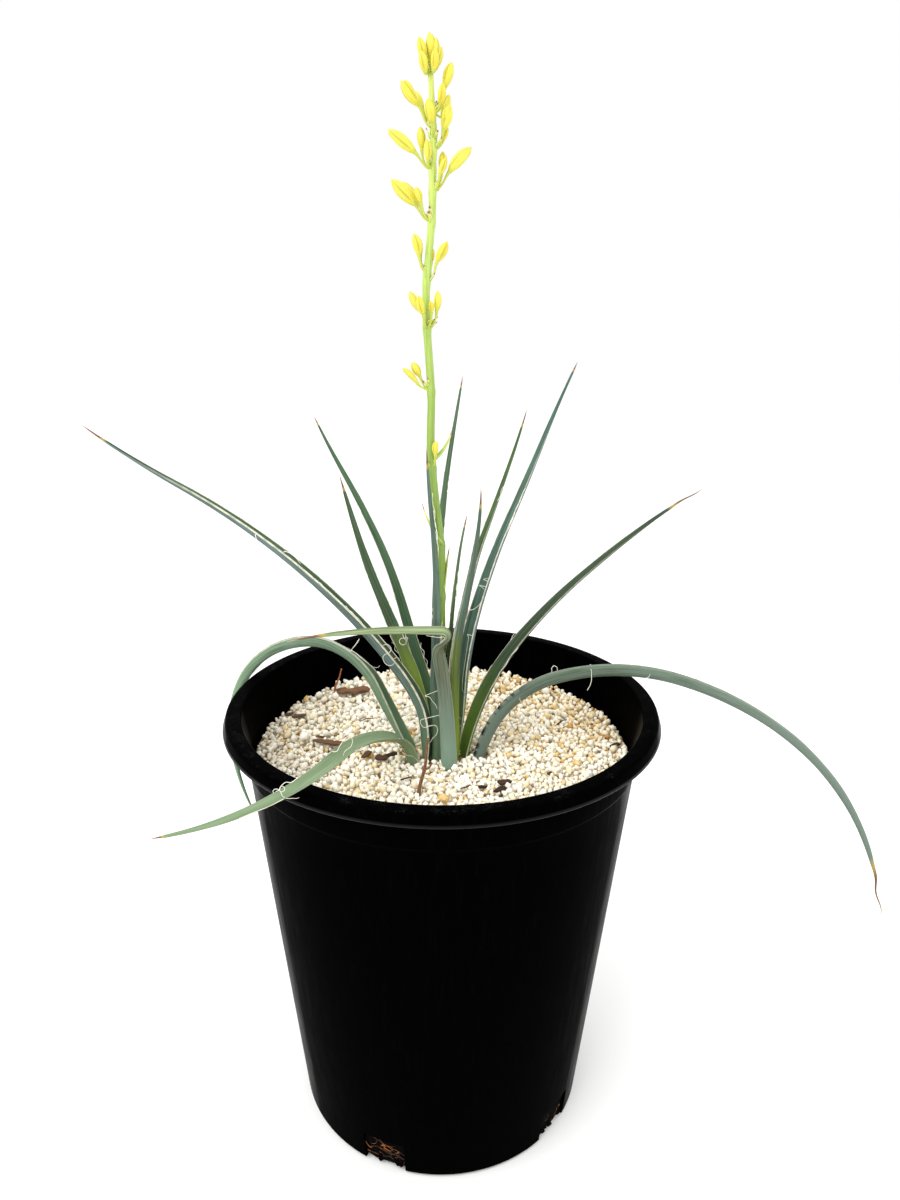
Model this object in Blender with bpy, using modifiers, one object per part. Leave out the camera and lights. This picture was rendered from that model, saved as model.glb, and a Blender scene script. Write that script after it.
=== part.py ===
"""Potted hesperaloe: a rosette of channelled leaves and one flower stalk in a black nursery pot.

Units are metres, +Z is up and the origin is the centre of the pot's flat underside.
Plant tables are in millimetres and degrees. Headings: 0 is +X, 90 is +Y (the back), 270 the front.
"""
import math
from collections import namedtuple

import bmesh
import bpy
import numpy as np
from mathutils import Matrix, Vector
from mathutils.bvhtree import BVHTree
from mathutils.geometry import delaunay_2d_cdt

MM = 0.001
GAP = 0.3 * MM

# Pot
POT_HEIGHT = 0.306
RIM_RADIUS = 0.144
RIM_INNER_RADIUS = 0.1335
SKIRT_RADIUS = 0.1457
SKIRT_DROP = 8.2 * MM
EDGE_ROUND = 1.2 * MM
WALL = 2.0 * MM
NECK_RADIUS = 0.1346
LEDGE_RADIUS = 0.1326
LEDGE_DROP = 0.030
LEDGE_STEP = 1.6 * MM
BASE_RADIUS = 0.103
BASE_ROUND = 3.0 * MM
FLOOR = 3.0 * MM
TURN_STEPS = 48

# Drain notches through the base corner
NOTCH_COUNT = 5
NOTCH_FIRST_DEG = 270 - 21.5
NOTCH_WIDTH = 0.030
NOTCH_HEIGHT = 0.026
NOTCH_DEPTH = 8.0 * MM
CUTTER_MARGIN = 0.010

# Fill
SOIL_TOP = 0.2497
CROWN_RADIUS = 0.034
CROWN_DEPTH = 0.030
CROWN_BAND = 0.012
CROWN_FOOT = 0.6
ROOT_Z = 0.250
PUMICE_LEVEL = 0.2735
PUMICE_RISE_TO_BACK = 0.028
GRAIN_SPACING = 10.5 * MM
GRAIN_HEIGHT = 2.6 * MM
GRAIN_REACH = 0.62
GRAIN_VALLEY = -0.3
RELIEF_SPACING = 7.2 * MM
HOLE_CLEARANCE = 0.4 * MM
HOLE_BELOW = 4.0 * MM
HOLE_TOP = 0.284

# Leaf blade
MARGIN_THICKNESS = 0.8 * MM
BLADE_THICKNESS = 2.3 * MM
TIP_WIDTH = 0.9 * MM
TIP_THICKNESS = 0.9 * MM
SLIM_WIDTH = 6.0 * MM
SWELL_AT = 0.23
FLOOR_SHARE = 0.42
FLOOR_LEVEL = 0.18
BACK_SHARE = 0.93
LEAF_KEYS = (0, 0.1, 0.22, 0.4, 0.6, 0.8, 1)
SPINE_STEPS = 240
STATION_CROWDING = 1.1

# Stalk and twigs: a bevel resolution of 2 gives a tube of twelve sides
TUBE_RESOLUTION = 2

Leaf = namedtuple("Leaf", "root length width keys rise heading facing twist stations fold")


def leaf(root, length, width, rise, heading, facing=None, twist=(0, 0), keys=LEAF_KEYS, stations=22,
         fold=1.0):
    """One leaf: rise and heading of its midrib at the keys, from root to tip.

    Width is in mm at the root, at the middle and what the lower third adds, if it adds any. Fold is
    how much deeper than usual the channel is.
    """
    if facing is None:
        facing = heading[0]
    return Leaf(root, length, width, keys, rise, heading, facing, twist, stations, fold)


LEAVES = {
    "leaf_01": leaf((-12.5, -17.5), 342, (12, 13), (95, 88, 56, 46, 37, 28, 36), (171, 173),
                    twist=(-8, 12, 10, 10, 10), fold=1.7),
    "leaf_02": leaf((-19, -12), 327, (12, 10, 3), (93, 55, 60, -10, -49, -90, -127), (158, 147),
                    twist=(0, 30, 50, 55), stations=28, fold=1.7),
    "leaf_03": leaf((-20, -24), 237, (11, 11.5), (93, 80, 27, 11, -3, -6, -5), (225, 250, 188)),
    "leaf_04": leaf((5, -29), 220, (11.5, 9.5),
                    (89, 88, 85, 80, 118, 134, 131, 60, 1, -2, -6, -14), (180, 182), facing=265,
                    twist=(0, 0, 0, 8, 55, 85, 88, 84, 75, 68, 66, 66),
                    keys=(0, 0.15, 0.32, 0.45, 0.485, 0.495, 0.513, 0.535, 0.557, 0.72, 0.85, 1),
                    stations=52),
    "leaf_05": leaf((-12.4, -6), 220, (7.5, 9.5), (90, 93, 78, 61, 60, 68, 70), (144, 142),
                    twist=(0, -28, -28, -25, -25)),
    "leaf_06": leaf((-2.5, -4), 298, (10, 8, 0.6), (90, 80, 55, 61, 43, 36, 42), (125, 124)),
    "leaf_07": leaf((-4, 9), 280, (9, 6.5), (90, 86, 88, 91, 74, 57, 56), (75, 75), facing=60),
    "leaf_08": leaf((8, -3), 308, (11, 9.5, 2), (89, 75, 83, 65, 54, 56, 52), (48, 49),
                    twist=(0, -13, -17, -17, -17), fold=1.6),
    "leaf_09": leaf((7, 7.6), 279, (9, 7), (90, 85, 79, 71, 44, 46, 54), (64, 64),
                    twist=(0, -28, -28, -28, -28), fold=1.6),
    "leaf_10": leaf((8, -19), 206, (10, 9.5, 1.2), (87, 85, 93, 88, 72, 76, 93), (49, 49), facing=320),
    "leaf_11": leaf((6.5, -7), 191, (5, 4), (90, 98, 97, 91, 73, 63, 40), (74, 75), facing=40),
    "leaf_12": leaf((14, -14), 279, (11, 9, 3.3), (91, 76, 64, 46, 35, 30, 23), (24, 24)),
    "leaf_13": leaf((24, -14), 452, (11, 10.5, 3.3), (90, 61, 14, -18, -38, -60, -81), (4, 2),
                    facing=314, stations=28),
    "leaf_14": leaf((-6, -19), 231, (7, 6), (91, 95, 85, 94, 89, 84, 88), (160, 160), facing=240),
    "leaf_15": leaf((-6.2, -13), 165, (4.5, 3.5), (92, 92, 90, 88, 90, 92, 92), (180, 180), facing=185),
}

# Stalk centre line: x, y, z and radius in millimetres, bottom to top
STALK_POINTS = (
    (0, -13.5, 250, 3.4), (-0.8, -12.6, 300, 3.3), (-1.2, -11, 347, 3.2), (-1.4, -10, 392, 3.0),
    (-1, -9.7, 412, 3.0), (-2.4, -9.4, 424, 2.9), (-5, -9, 446, 2.8), (-7.3, -8.5, 470, 2.6),
    (-7.7, -8.1, 486, 2.5), (-6.8, -7.7, 507, 2.4), (-8.3, -7.3, 530, 2.3), (-9.8, -6.9, 548, 2.3),
    (-10.3, -6.5, 569, 2.2), (-8.2, -6, 590, 2.1), (-6.1, -5.6, 611, 2.1), (-6.3, -5.1, 635, 2.0),
    (-5.4, -4.8, 650, 1.8), (-6.8, -4.3, 672, 1.5), (-7.3, -4.2, 681, 1.3),
)

# Bracts on the stalk: height, heading, length, outward lean, width
STALK_BRACTS = (
    (384, 20, 31, 6, 4.5),
    (420, 175, 25, 21, 4.0),
    (470, 15, 21.5, 30, 4.5),
)

# Buds, a row each: base and tip as x, y, z offsets in millimetres from the stalk's centre at the
# cluster's height, then the bud's width
BUD_CLUSTERS = {
    "bud_cluster_01": (680, (
        ((0, -0.5, 7), (-0.5, -0.5, 20), 5.5), ((-3, -1.5, 5), (-6, -3, 17), 5),
        ((2, -1, 5), (3, -2, 17), 4.5), ((-2.5, -3.5, -1), (-5, -6, 10), 5),
        ((1.5, -4, 0), (2.5, -6, 11), 4.5), ((-1, 3, 4), (-2.5, 5.5, 16), 5),
        ((3, 2.5, 3), (6, 4, 14), 4.5))),
    "bud_cluster_02": (661, (
        ((6.5, 1, 12), (10.5, 2, 25), 5.5), ((4, -2.5, 3), (5.5, -4, 14), 4.5),
        ((5, 6, -1), (9, 10, 11), 5))),
    "bud_cluster_03": (654, (
        ((-7.5, -1, 10), (-17.5, -3, 22), 6), ((-6, 4, 9), (-11, 7, 19), 4.5),
        ((-3.5, 4.5, 4), (-4.5, 7, 12), 3.5))),
    "bud_cluster_04": (649, (
        ((-1, -5.5, 6), (-3, -9, 17.5), 6),)),
    "bud_cluster_05": (643, (
        ((5.5, -1, 9), (9, -2.5, 22), 6), ((5, 2.5, 4), (8, 4, 12), 3.5))),
    "bud_cluster_06": (633, (
        ((-9, -2, 7.5), (-24, -4, 19), 6.5), ((-6, 3.5, 10), (-7, 5.5, 22), 5),
        ((-2.5, -4.5, 3), (-3, -6.5, 14), 4.5))),
    "bud_cluster_07": (622, (
        ((9, -1, 9), (21.5, -3, 21.5), 6.5), ((5, 3.5, 9), (5.5, 5, 20.5), 5),
        ((4, -3.5, 7), (7.5, -5.5, 16), 4))),
    "bud_cluster_08": (606, (
        ((-9, -1.5, 8), (-22.5, -4, 21), 7), ((-7, 3.5, 9), (-17, 6, 21), 5.5),
        ((-6, -4, 9), (-9, -5.5, 17), 4))),
    "bud_cluster_09": (579, (
        ((-4.5, -2.5, 8), (-7.5, -4, 20), 5.5), ((-4, 2.5, 8), (-6, 5, 19.5), 4.5))),
    "bud_cluster_10": (574, (
        ((6, -1, 10), (12, -2, 21), 5.5), ((2.5, 4.5, 9), (3.5, 5.5, 18), 3.5))),
    "bud_cluster_11": (548, (
        ((-1.5, -5, 8), (-9.5, -8, 20), 5), ((3, -5, 8), (2.5, -7, 15), 3.5),
        ((6, -2, 9), (6.5, -3, 20.5), 4.5), ((-1.5, -8.5, 7), (-4, -11.5, 18), 4.5))),
    "bud_cluster_12": (512.5, (
        ((-6.5, -1.5, 7.7), (-11.3, -2.5, 15.9), 5), ((-7.5, -4.5, 3.5), (-16.7, -6, 12.9), 3.5))),
    "bud_cluster_13": (466.5, (
        ((2.5, -4, 7), (2.8, -5.5, 16.5), 4),)),
}
KNOT_RADIUS = 2.4 * MM
KNOT_OFFSET = 2.6 * MM
TOP_KNOT_RISE = 3.5 * MM
PEDICEL_RADIUS = 0.8 * MM
PEDICEL_SINK = 2.0 * MM
BRACT_INSET = 1.6 * MM
BRACT_THICKNESS = 0.7 * MM

# Bark chips on the pumice: x, y, heading, length, width, thickness
CHIPS = {
    "bark_chip_1": (-67, 74, 12, 24, 8, 2.5),
    "bark_chip_2": (-78, -6, -12, 24, 6, 2.0),
    "bark_chip_3": (-104, 34, 35, 11, 5, 1.8),
    "bark_chip_4": (-40, -26, 150, 9, 6, 2.0),
    "bark_chip_5": (40, -56, 30, 9, 6, 2.0),
}

# Twigs standing in the pumice: points x, y, z above the pumice, then radius
TWIGS = {
    "twig_1": (((-15.5, -61, -8), (-13.5, -61, 4), (-10.2, -60, 16), (-9.2, -59, 26),
                (-8.4, -58, 35)), 0.9),
    "twig_2": (((-83, 78, -8), (-84, 78, 4), (-80, 78, 12), (-78, 78, 20)), 0.8),
}

SEED = 7


def clear_scene():
    for item in list(bpy.data.objects):
        bpy.data.objects.remove(item, do_unlink=True)


def new_collection(name):
    collection = bpy.data.collections.new(name)
    bpy.context.scene.collection.children.link(collection)
    return collection


def material(name, colour, roughness, metallic=0.0):
    """A Principled material; colour is an sRGB hex string."""
    found = bpy.data.materials.get(name)
    if found:
        return found
    channels = [int(colour[i:i + 2], 16) / 255 for i in (0, 2, 4)]
    linear = [c / 12.92 if c <= 0.04045 else ((c + 0.055) / 1.055) ** 2.4 for c in channels]
    made = bpy.data.materials.new(name)
    made.use_nodes = True
    shader = made.node_tree.nodes["Principled BSDF"]
    shader.inputs["Base Color"].default_value = (*linear, 1)
    shader.inputs["Roughness"].default_value = roughness
    shader.inputs["Metallic"].default_value = metallic
    return made


def add_object(name, mesh, collection, finish=None):
    item = bpy.data.objects.new(name, mesh)
    collection.objects.link(item)
    if finish:
        mesh.materials.append(finish)
    return item


def mesh_from_bmesh(name, bm):
    bmesh.ops.recalc_face_normals(bm, faces=bm.faces)
    mesh = bpy.data.meshes.new(name)
    bm.to_mesh(mesh)
    bm.free()
    return mesh


def smooth(item, angle_deg=35):
    item.data.shade_smooth()
    item.data.set_sharp_from_angle(angle=math.radians(angle_deg))


def make_cutter(item):
    item.hide_render = True
    item.display_type = "WIRE"


def turned(name, profile, collection, finish=None):
    """A closed solid turned about Z from a profile of (radius, height) points, ends on the axis."""
    mesh = bpy.data.meshes.new(name)
    edges = [(i, i + 1) for i in range(len(profile) - 1)]
    mesh.from_pydata([(r, 0, z) for r, z in profile], edges, [])
    item = add_object(name, mesh, collection, finish)
    screw = item.modifiers.new("turn", "SCREW")
    screw.steps = TURN_STEPS
    screw.render_steps = TURN_STEPS
    screw.use_merge_vertices = True
    screw.merge_threshold = 0.00001
    return item


def arc(centre, radius, start_deg, end_deg, steps):
    """Points of a profile arc about a centre (r, z)."""
    angles = np.radians(np.linspace(start_deg, end_deg, steps + 1))
    return [(centre[0] + radius * math.cos(a), centre[1] + radius * math.sin(a)) for a in angles]


def wall_radius(z):
    """Outer radius of the wall below the ledge."""
    top = POT_HEIGHT - LEDGE_DROP
    return BASE_RADIUS + (LEDGE_RADIUS - LEDGE_STEP - BASE_RADIUS) * z / top


def inner_radius(z):
    return wall_radius(z) - WALL


def pot(collection, cutters):
    """The pot: wall, rolled lip with its skirt, stacking ledge and drain notches."""
    top = POT_HEIGHT
    ledge = top - LEDGE_DROP
    skirt = top - SKIRT_DROP
    inside = [
        (0, FLOOR),
        (inner_radius(FLOOR), FLOOR),
        (inner_radius(ledge), ledge),
        (LEDGE_RADIUS - WALL, ledge + LEDGE_STEP),
        (NECK_RADIUS - WALL, top - EDGE_ROUND),
    ]
    lip = arc((RIM_INNER_RADIUS + EDGE_ROUND, top - EDGE_ROUND), EDGE_ROUND, 150, 90, 2)
    lip += arc((RIM_RADIUS - EDGE_ROUND, top - EDGE_ROUND), EDGE_ROUND, 90, 10, 3)
    under = [
        (SKIRT_RADIUS, skirt),
        (SKIRT_RADIUS - WALL * 0.8, skirt),
        (RIM_RADIUS - WALL * 1.2, top - WALL),
        (NECK_RADIUS, top - WALL),
        (LEDGE_RADIUS, ledge),
        (LEDGE_RADIUS - LEDGE_STEP, ledge - LEDGE_STEP),
    ]
    corner = arc((wall_radius(BASE_ROUND) - BASE_ROUND, BASE_ROUND), BASE_ROUND, 0, -90, 3)
    profile = inside + lip + under + corner + [(0, 0)]
    body = turned("pot", profile, collection, material("black_polyethylene", "141517", 0.42))
    for index in range(NOTCH_COUNT):
        heading = NOTCH_FIRST_DEG + index * 360 / NOTCH_COUNT
        notch = notch_cutter(index, heading, cutters)
        cut = body.modifiers.new(notch.name, "BOOLEAN")
        cut.operation = "DIFFERENCE"
        cut.object = notch
    return body


def notch_cutter(index, heading_deg, cutters):
    """A box that opens the wall, the base corner and the edge of the floor."""
    bm = bmesh.new()
    depth = NOTCH_DEPTH + 2 * CUTTER_MARGIN
    height = NOTCH_HEIGHT + CUTTER_MARGIN
    centre = Vector((BASE_RADIUS - NOTCH_DEPTH + depth / 2, 0, NOTCH_HEIGHT - height / 2))
    shape = Matrix.Diagonal((depth, NOTCH_WIDTH, height, 1))
    bmesh.ops.create_cube(bm, size=1, matrix=Matrix.Translation(centre) @ shape)
    item = add_object(f"notch_cutter_{index + 1}", mesh_from_bmesh("notch", bm), cutters)
    item.rotation_euler.z = math.radians(heading_deg)
    make_cutter(item)
    return item


def potting_soil(collection):
    """The root ball: fills the pot with a small gap and has a round recess for the crown."""
    recess = SOIL_TOP - CROWN_DEPTH
    bottom = FLOOR + GAP
    profile = [
        (0, recess),
        (CROWN_RADIUS, recess),
        (CROWN_RADIUS, SOIL_TOP),
        (inner_radius(SOIL_TOP) - GAP, SOIL_TOP),
        (inner_radius(bottom) - GAP, bottom),
        (0, bottom),
    ]
    return turned("potting_soil", profile, collection, material("potting_soil", "2c2019", 0.95))


def crown(collection):
    """The short rootstock that carries the leaf bases and the stalk."""
    bottom = SOIL_TOP - CROWN_DEPTH + GAP
    edge = CROWN_RADIUS - GAP
    profile = [
        (0, SOIL_TOP),
        (edge, SOIL_TOP),
        (edge, SOIL_TOP - CROWN_BAND),
        (edge * CROWN_FOOT, bottom),
        (0, bottom),
    ]
    return turned("crown", profile, collection, material("rootstock", "6d5a41", 0.85))


def grain_centres():
    """Jittered grid of grain centres over the pumice disc."""
    rng = np.random.RandomState(SEED)
    half = int(RIM_RADIUS / GRAIN_SPACING) + 1
    grid = np.array([(i, j) for i in range(-half, half + 1) for j in range(-half, half + 1)], float)
    grid[:, 0] += 0.5 * (grid[:, 1] % 2)
    return (grid + rng.uniform(-0.3, 0.3, grid.shape)) * GRAIN_SPACING


GRAINS = grain_centres()


def pumice_height(points):
    """Height of the pumice: a slope up to the back plus a dome over the nearest grain centre."""
    points = np.atleast_2d(points)
    distance = np.linalg.norm(points[:, None] - GRAINS[None], axis=2).min(axis=1)
    dome = np.clip(1 - (distance / (GRAIN_REACH * GRAIN_SPACING)) ** 2, GRAIN_VALLEY, 1)
    return PUMICE_LEVEL + PUMICE_RISE_TO_BACK * points[:, 1] + GRAIN_HEIGHT * dome


def disc_points(radius, spacing):
    """Rings of points at an even spacing, each ring with six more points than the last."""
    points = [(0.0, 0.0)]
    rings = int(radius / spacing)
    for ring in range(1, rings):
        count = 6 * ring
        angles = 2 * math.pi * np.arange(count) / count
        points += [(spacing * ring * math.cos(a), spacing * ring * math.sin(a)) for a in angles]
    rim_count = 2 * TURN_STEPS
    angles = 2 * math.pi * np.arange(rim_count) / rim_count
    rim = [(radius * math.cos(a), radius * math.sin(a)) for a in angles]
    return points, rim


def pumice(collection, hole_cutters):
    """The top dressing: a disc whose top is raised in grain-like domes, with plain holes."""
    sagitta = 1 - math.cos(math.pi / TURN_STEPS)
    top_radius = (inner_radius(PUMICE_LEVEL) - GAP) * (1 - sagitta)
    low_radius = (inner_radius(ROOT_Z) - GAP) * (1 - sagitta)
    inside, rim = disc_points(top_radius - 0.3 * MM, RELIEF_SPACING)
    flat = [Vector(p) for p in rim + inside]
    count = len(rim)
    loop = [(i, (i + 1) % count) for i in range(count)]
    verts, _, faces, _, _, _ = delaunay_2d_cdt(flat, loop, [], 1, 1e-6)
    plane = np.array([tuple(v) for v in verts])
    heights = pumice_height(plane)
    bm = bmesh.new()
    top = [bm.verts.new((x, y, z)) for (x, y), z in zip(plane, heights)]
    scale = low_radius / top_radius
    low = [bm.verts.new((plane[i][0] * scale, plane[i][1] * scale, ROOT_Z)) for i in range(count)]
    for face in faces:
        bm.faces.new([top[i] for i in face])
    for i, j in loop:
        bm.faces.new((top[i], low[i], low[j], top[j]))
    bm.faces.new(low)
    finish = material("pumice", "e9e2cf", 0.95)
    item = add_object("pumice", mesh_from_bmesh("pumice", bm), collection, finish)
    for cutter in hole_cutters:
        cut = item.modifiers.new(cutter.name, "BOOLEAN")
        cut.operation = "DIFFERENCE"
        cut.object = cutter
    return item


def spine(shape):
    """Midrib points and directions: rise and heading are run along the length step by step."""
    t = (np.arange(SPINE_STEPS) + 0.5) / SPINE_STEPS
    even = np.linspace(0, 1, len(shape.heading))
    heading_keys = shape.keys if len(shape.heading) == len(shape.keys) else even
    rise = np.radians(np.interp(t, shape.keys, shape.rise))
    heading = np.radians(np.interp(t, heading_keys, shape.heading))
    directions = np.stack(
        [np.cos(rise) * np.cos(heading), np.cos(rise) * np.sin(heading), np.sin(rise)], axis=1)
    start = np.array([shape.root[0] * MM, shape.root[1] * MM, ROOT_Z])
    steps = np.cumsum(directions * shape.length * MM / SPINE_STEPS, axis=0)
    return np.vstack([start, start + steps]), np.vstack([directions[0], directions])


def carried_normals(directions, facing_deg):
    """Inner-face normals carried along the midrib without extra roll."""
    facing = math.radians(facing_deg)
    normal = np.array([-math.cos(facing), -math.sin(facing), 0.0])
    normals = []
    for direction in directions:
        normal = normal - direction * np.dot(normal, direction)
        normal = normal / np.linalg.norm(normal)
        normals.append(normal)
    return np.array(normals)


def outset(points, distance):
    """A clockwise outline moved outward, with mitred corners."""
    moved = []
    for index, point in enumerate(points):
        before = (Vector(point) - Vector(points[index - 1])).normalized()
        after = (Vector(points[(index + 1) % len(points)]) - Vector(point)).normalized()
        away = Vector((-before.y - after.y, before.x + after.x))
        mitre = distance / max(1 + before.dot(after), 0.4)
        moved.append((point[0] + away.x * mitre, point[1] + away.y * mitre))
    return moved


def blade_section(width, thickness, channel, grow):
    """Eight points of a channelled crescent, across and up, clockwise from the left margin."""
    half = width / 2
    edge = min(MARGIN_THICKNESS, thickness)
    floor = half * FLOOR_SHARE
    back = half * BACK_SHARE
    level = channel * FLOOR_LEVEL
    points = [(-half, channel), (-floor, level), (floor, level), (half, channel)]
    points += [(back, channel - edge), (floor, level - thickness)]
    points += [(-floor, level - thickness), (-back, channel - edge)]
    return outset(points, grow) if grow else points


def blade_size(shape, t):
    """Width, thickness and channel depth at t along the blade."""
    base, middle, *swell = shape.width
    width = (middle * (1 - t ** 2.2) + (base - middle) * (1 - t) ** 6) * MM + TIP_WIDTH * t
    if swell:
        reach = t / SWELL_AT
        width += swell[0] * MM * (reach * math.exp(1 - reach)) ** 3
    thickness = BLADE_THICKNESS * min(1, width / SLIM_WIDTH) * (1 - 0.35 * t)
    channel = width * (0.2 + 0.12 * min(1, t * 4)) * (1 - 0.5 * t)
    channel *= 1 + (shape.fold - 1) * min(1, t * 6)
    return width, max(thickness, TIP_THICKNESS), channel


def blade(name, shape, grow=0.0, below=0.0, top=None):
    """Mesh of a leaf: crescent sections carried along the midrib and capped at both ends."""
    points, directions = spine(shape)
    normals = carried_normals(directions, shape.facing)
    even = np.linspace(0, 1, len(shape.twist))
    twist_keys = shape.keys if len(shape.twist) == len(shape.keys) else even
    bm = bmesh.new()
    rings = []
    for station in range(shape.stations + 1):
        t = (station / shape.stations) ** STATION_CROWDING
        index = min(SPINE_STEPS, round(t * SPINE_STEPS))
        centre = Vector(points[index])
        along = Vector(directions[index])
        turn = Matrix.Rotation(math.radians(np.interp(t, twist_keys, shape.twist)), 3, along)
        inner = turn @ Vector(normals[index])
        across = along.cross(inner)
        section = blade_section(*blade_size(shape, t), grow)
        if station == 0 and below:
            low = centre - along * below
            rings.append([bm.verts.new(low + across * x + inner * y) for x, y in section])
        rings.append([bm.verts.new(centre + across * x + inner * y) for x, y in section])
        if top and centre.z > top:
            break
    count = len(rings[0])
    for lower, upper in zip(rings, rings[1:]):
        for i in range(count):
            j = (i + 1) % count
            bm.faces.new((lower[i], lower[j], upper[j], upper[i]))
    bm.faces.new(rings[0])
    bm.faces.new(list(reversed(rings[-1])))
    return mesh_from_bmesh(name, bm)


def curve_tube(name, points, radii, collection, finish=None):
    """A tube along hand-set points, as a mesh with welded caps."""
    curve = bpy.data.curves.new(name, "CURVE")
    curve.dimensions = "3D"
    curve.bevel_depth = 1.0
    curve.bevel_resolution = TUBE_RESOLUTION
    curve.use_fill_caps = True
    line = curve.splines.new("POLY")
    line.points.add(len(points) - 1)
    for slot, point, radius in zip(line.points, points, radii):
        slot.co = (*point, 1)
        slot.radius = radius
    source = bpy.data.objects.new(name + "_curve", curve)
    collection.objects.link(source)
    depsgraph = bpy.context.evaluated_depsgraph_get()
    mesh = bpy.data.meshes.new_from_object(source.evaluated_get(depsgraph))
    bpy.data.objects.remove(source, do_unlink=True)
    bm = bmesh.new()
    bm.from_mesh(mesh)
    bmesh.ops.remove_doubles(bm, verts=bm.verts, dist=0.00001)
    return add_object(name, mesh_from_bmesh(name, bm), collection, finish)


def stalk_centre(height_mm):
    """Point on the stalk's centre line at a height, in metres."""
    table = np.array(STALK_POINTS)
    return Vector([np.interp(height_mm, table[:, 2], table[:, axis]) * MM for axis in (0, 1, 2)])


def stalk_tube(name, collection, grow=0.0, finish=None):
    points = [(x * MM, y * MM, z * MM) for x, y, z, _ in STALK_POINTS]
    radii = [r * MM + grow for *_, r in STALK_POINTS]
    return curve_tube(name, points, radii, collection, finish)


def spindle(bm, base, tip, width, sides=6, bands=5):
    """A bud: a sphere drawn out from base to tip, with its fullest part below the middle."""
    axis = tip - base
    turn = Vector((0, 0, 1)).rotation_difference(axis).to_matrix().to_4x4()
    made = bmesh.ops.create_uvsphere(bm, u_segments=sides, v_segments=bands, radius=1)
    for vert in made["verts"]:
        along = (vert.co.z + 1) / 2
        fullness = 1 + 0.25 * (0.5 - along)
        flat = Vector((vert.co.x * width / 2 * fullness, vert.co.y * width / 2 * fullness, 0))
        vert.co = base + turn @ (flat + Vector((0, 0, along * axis.length)))


def rod(bm, start, end, radius_start, radius_end, sides=5):
    """A capped cone between two points."""
    axis = end - start
    turn = Vector((0, 0, 1)).rotation_difference(axis).to_matrix().to_4x4()
    place = Matrix.Translation((start + end) / 2) @ turn
    bmesh.ops.create_cone(bm, cap_ends=True, segments=sides, radius1=radius_start,
                          radius2=radius_end, depth=axis.length, matrix=place)


def bract(bm, foot, heading_deg, length, lean_deg, width):
    """A papery bract: a thin plate with a broad foot and a pointed tip, leaning off the stalk."""
    heading = math.radians(heading_deg)
    lean = math.radians(lean_deg)
    out = Vector((math.cos(heading), math.sin(heading), 0))
    side = Vector((-math.sin(heading), math.cos(heading), 0))
    up = out * math.sin(lean) + Vector((0, 0, math.cos(lean)))
    face = side.cross(up)
    rings = []
    for t, spread in ((0, 1), (0.3, 0.8), (0.65, 0.4), (1, 0.12)):
        centre = foot + up * (length * t)
        half = width * spread / 2
        depth = BRACT_THICKNESS / 2
        corners = ((-half, -depth), (half, -depth), (half, depth), (-half, depth))
        rings.append([bm.verts.new(centre + side * x + face * y) for x, y in corners])
    for lower, upper in zip(rings, rings[1:]):
        for i in range(4):
            j = (i + 1) % 4
            bm.faces.new((lower[i], lower[j], upper[j], upper[i]))
    bm.faces.new(rings[0])
    bm.faces.new(list(reversed(rings[-1])))


def fuse(name, pieces, collection, finish, cutter=None):
    """One body from separate closed meshes: a Boolean union, then an optional cut, both applied."""
    loose = bpy.data.collections.new(name + "_loose")
    bpy.context.scene.collection.children.link(loose)
    first = add_object(name + "_first", pieces[0], bpy.context.scene.collection)
    for index, mesh in enumerate(pieces[1:]):
        add_object(f"{name}_{index}", mesh, loose)
    if len(pieces) > 1:
        join = first.modifiers.new("join", "BOOLEAN")
        join.operation = "UNION"
        join.operand_type = "COLLECTION"
        join.collection = loose
    if cutter:
        cut = first.modifiers.new("seat", "BOOLEAN")
        cut.operation = "DIFFERENCE"
        cut.object = cutter
    depsgraph = bpy.context.evaluated_depsgraph_get()
    mesh = bpy.data.meshes.new_from_object(first.evaluated_get(depsgraph))
    mesh.materials.clear()
    for item in [first, *loose.objects]:
        bpy.data.objects.remove(item, do_unlink=True)
    bpy.data.collections.remove(loose)
    return add_object(name, mesh, collection, finish)


def piece(name, build, *arguments):
    """A mesh made by one building function."""
    bm = bmesh.new()
    build(bm, *arguments)
    return mesh_from_bmesh(name, bm)


def flower_stalk(collection):
    """The stalk with its bracts fused on."""
    tube = stalk_tube("stalk_tube", bpy.context.scene.collection)
    pieces = [tube.data.copy()]
    bpy.data.objects.remove(tube, do_unlink=True)
    for height, heading, length, lean, width in STALK_BRACTS:
        foot = stalk_centre(height)
        out = Vector((math.cos(math.radians(heading)), math.sin(math.radians(heading)), 0))
        foot = foot + out * BRACT_INSET
        pieces.append(piece("bract", bract, foot, heading, length * MM, lean, width * MM))
    return fuse("flower_stalk", pieces, collection, material("stalk_green", "a3c34a", 0.5))


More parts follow.
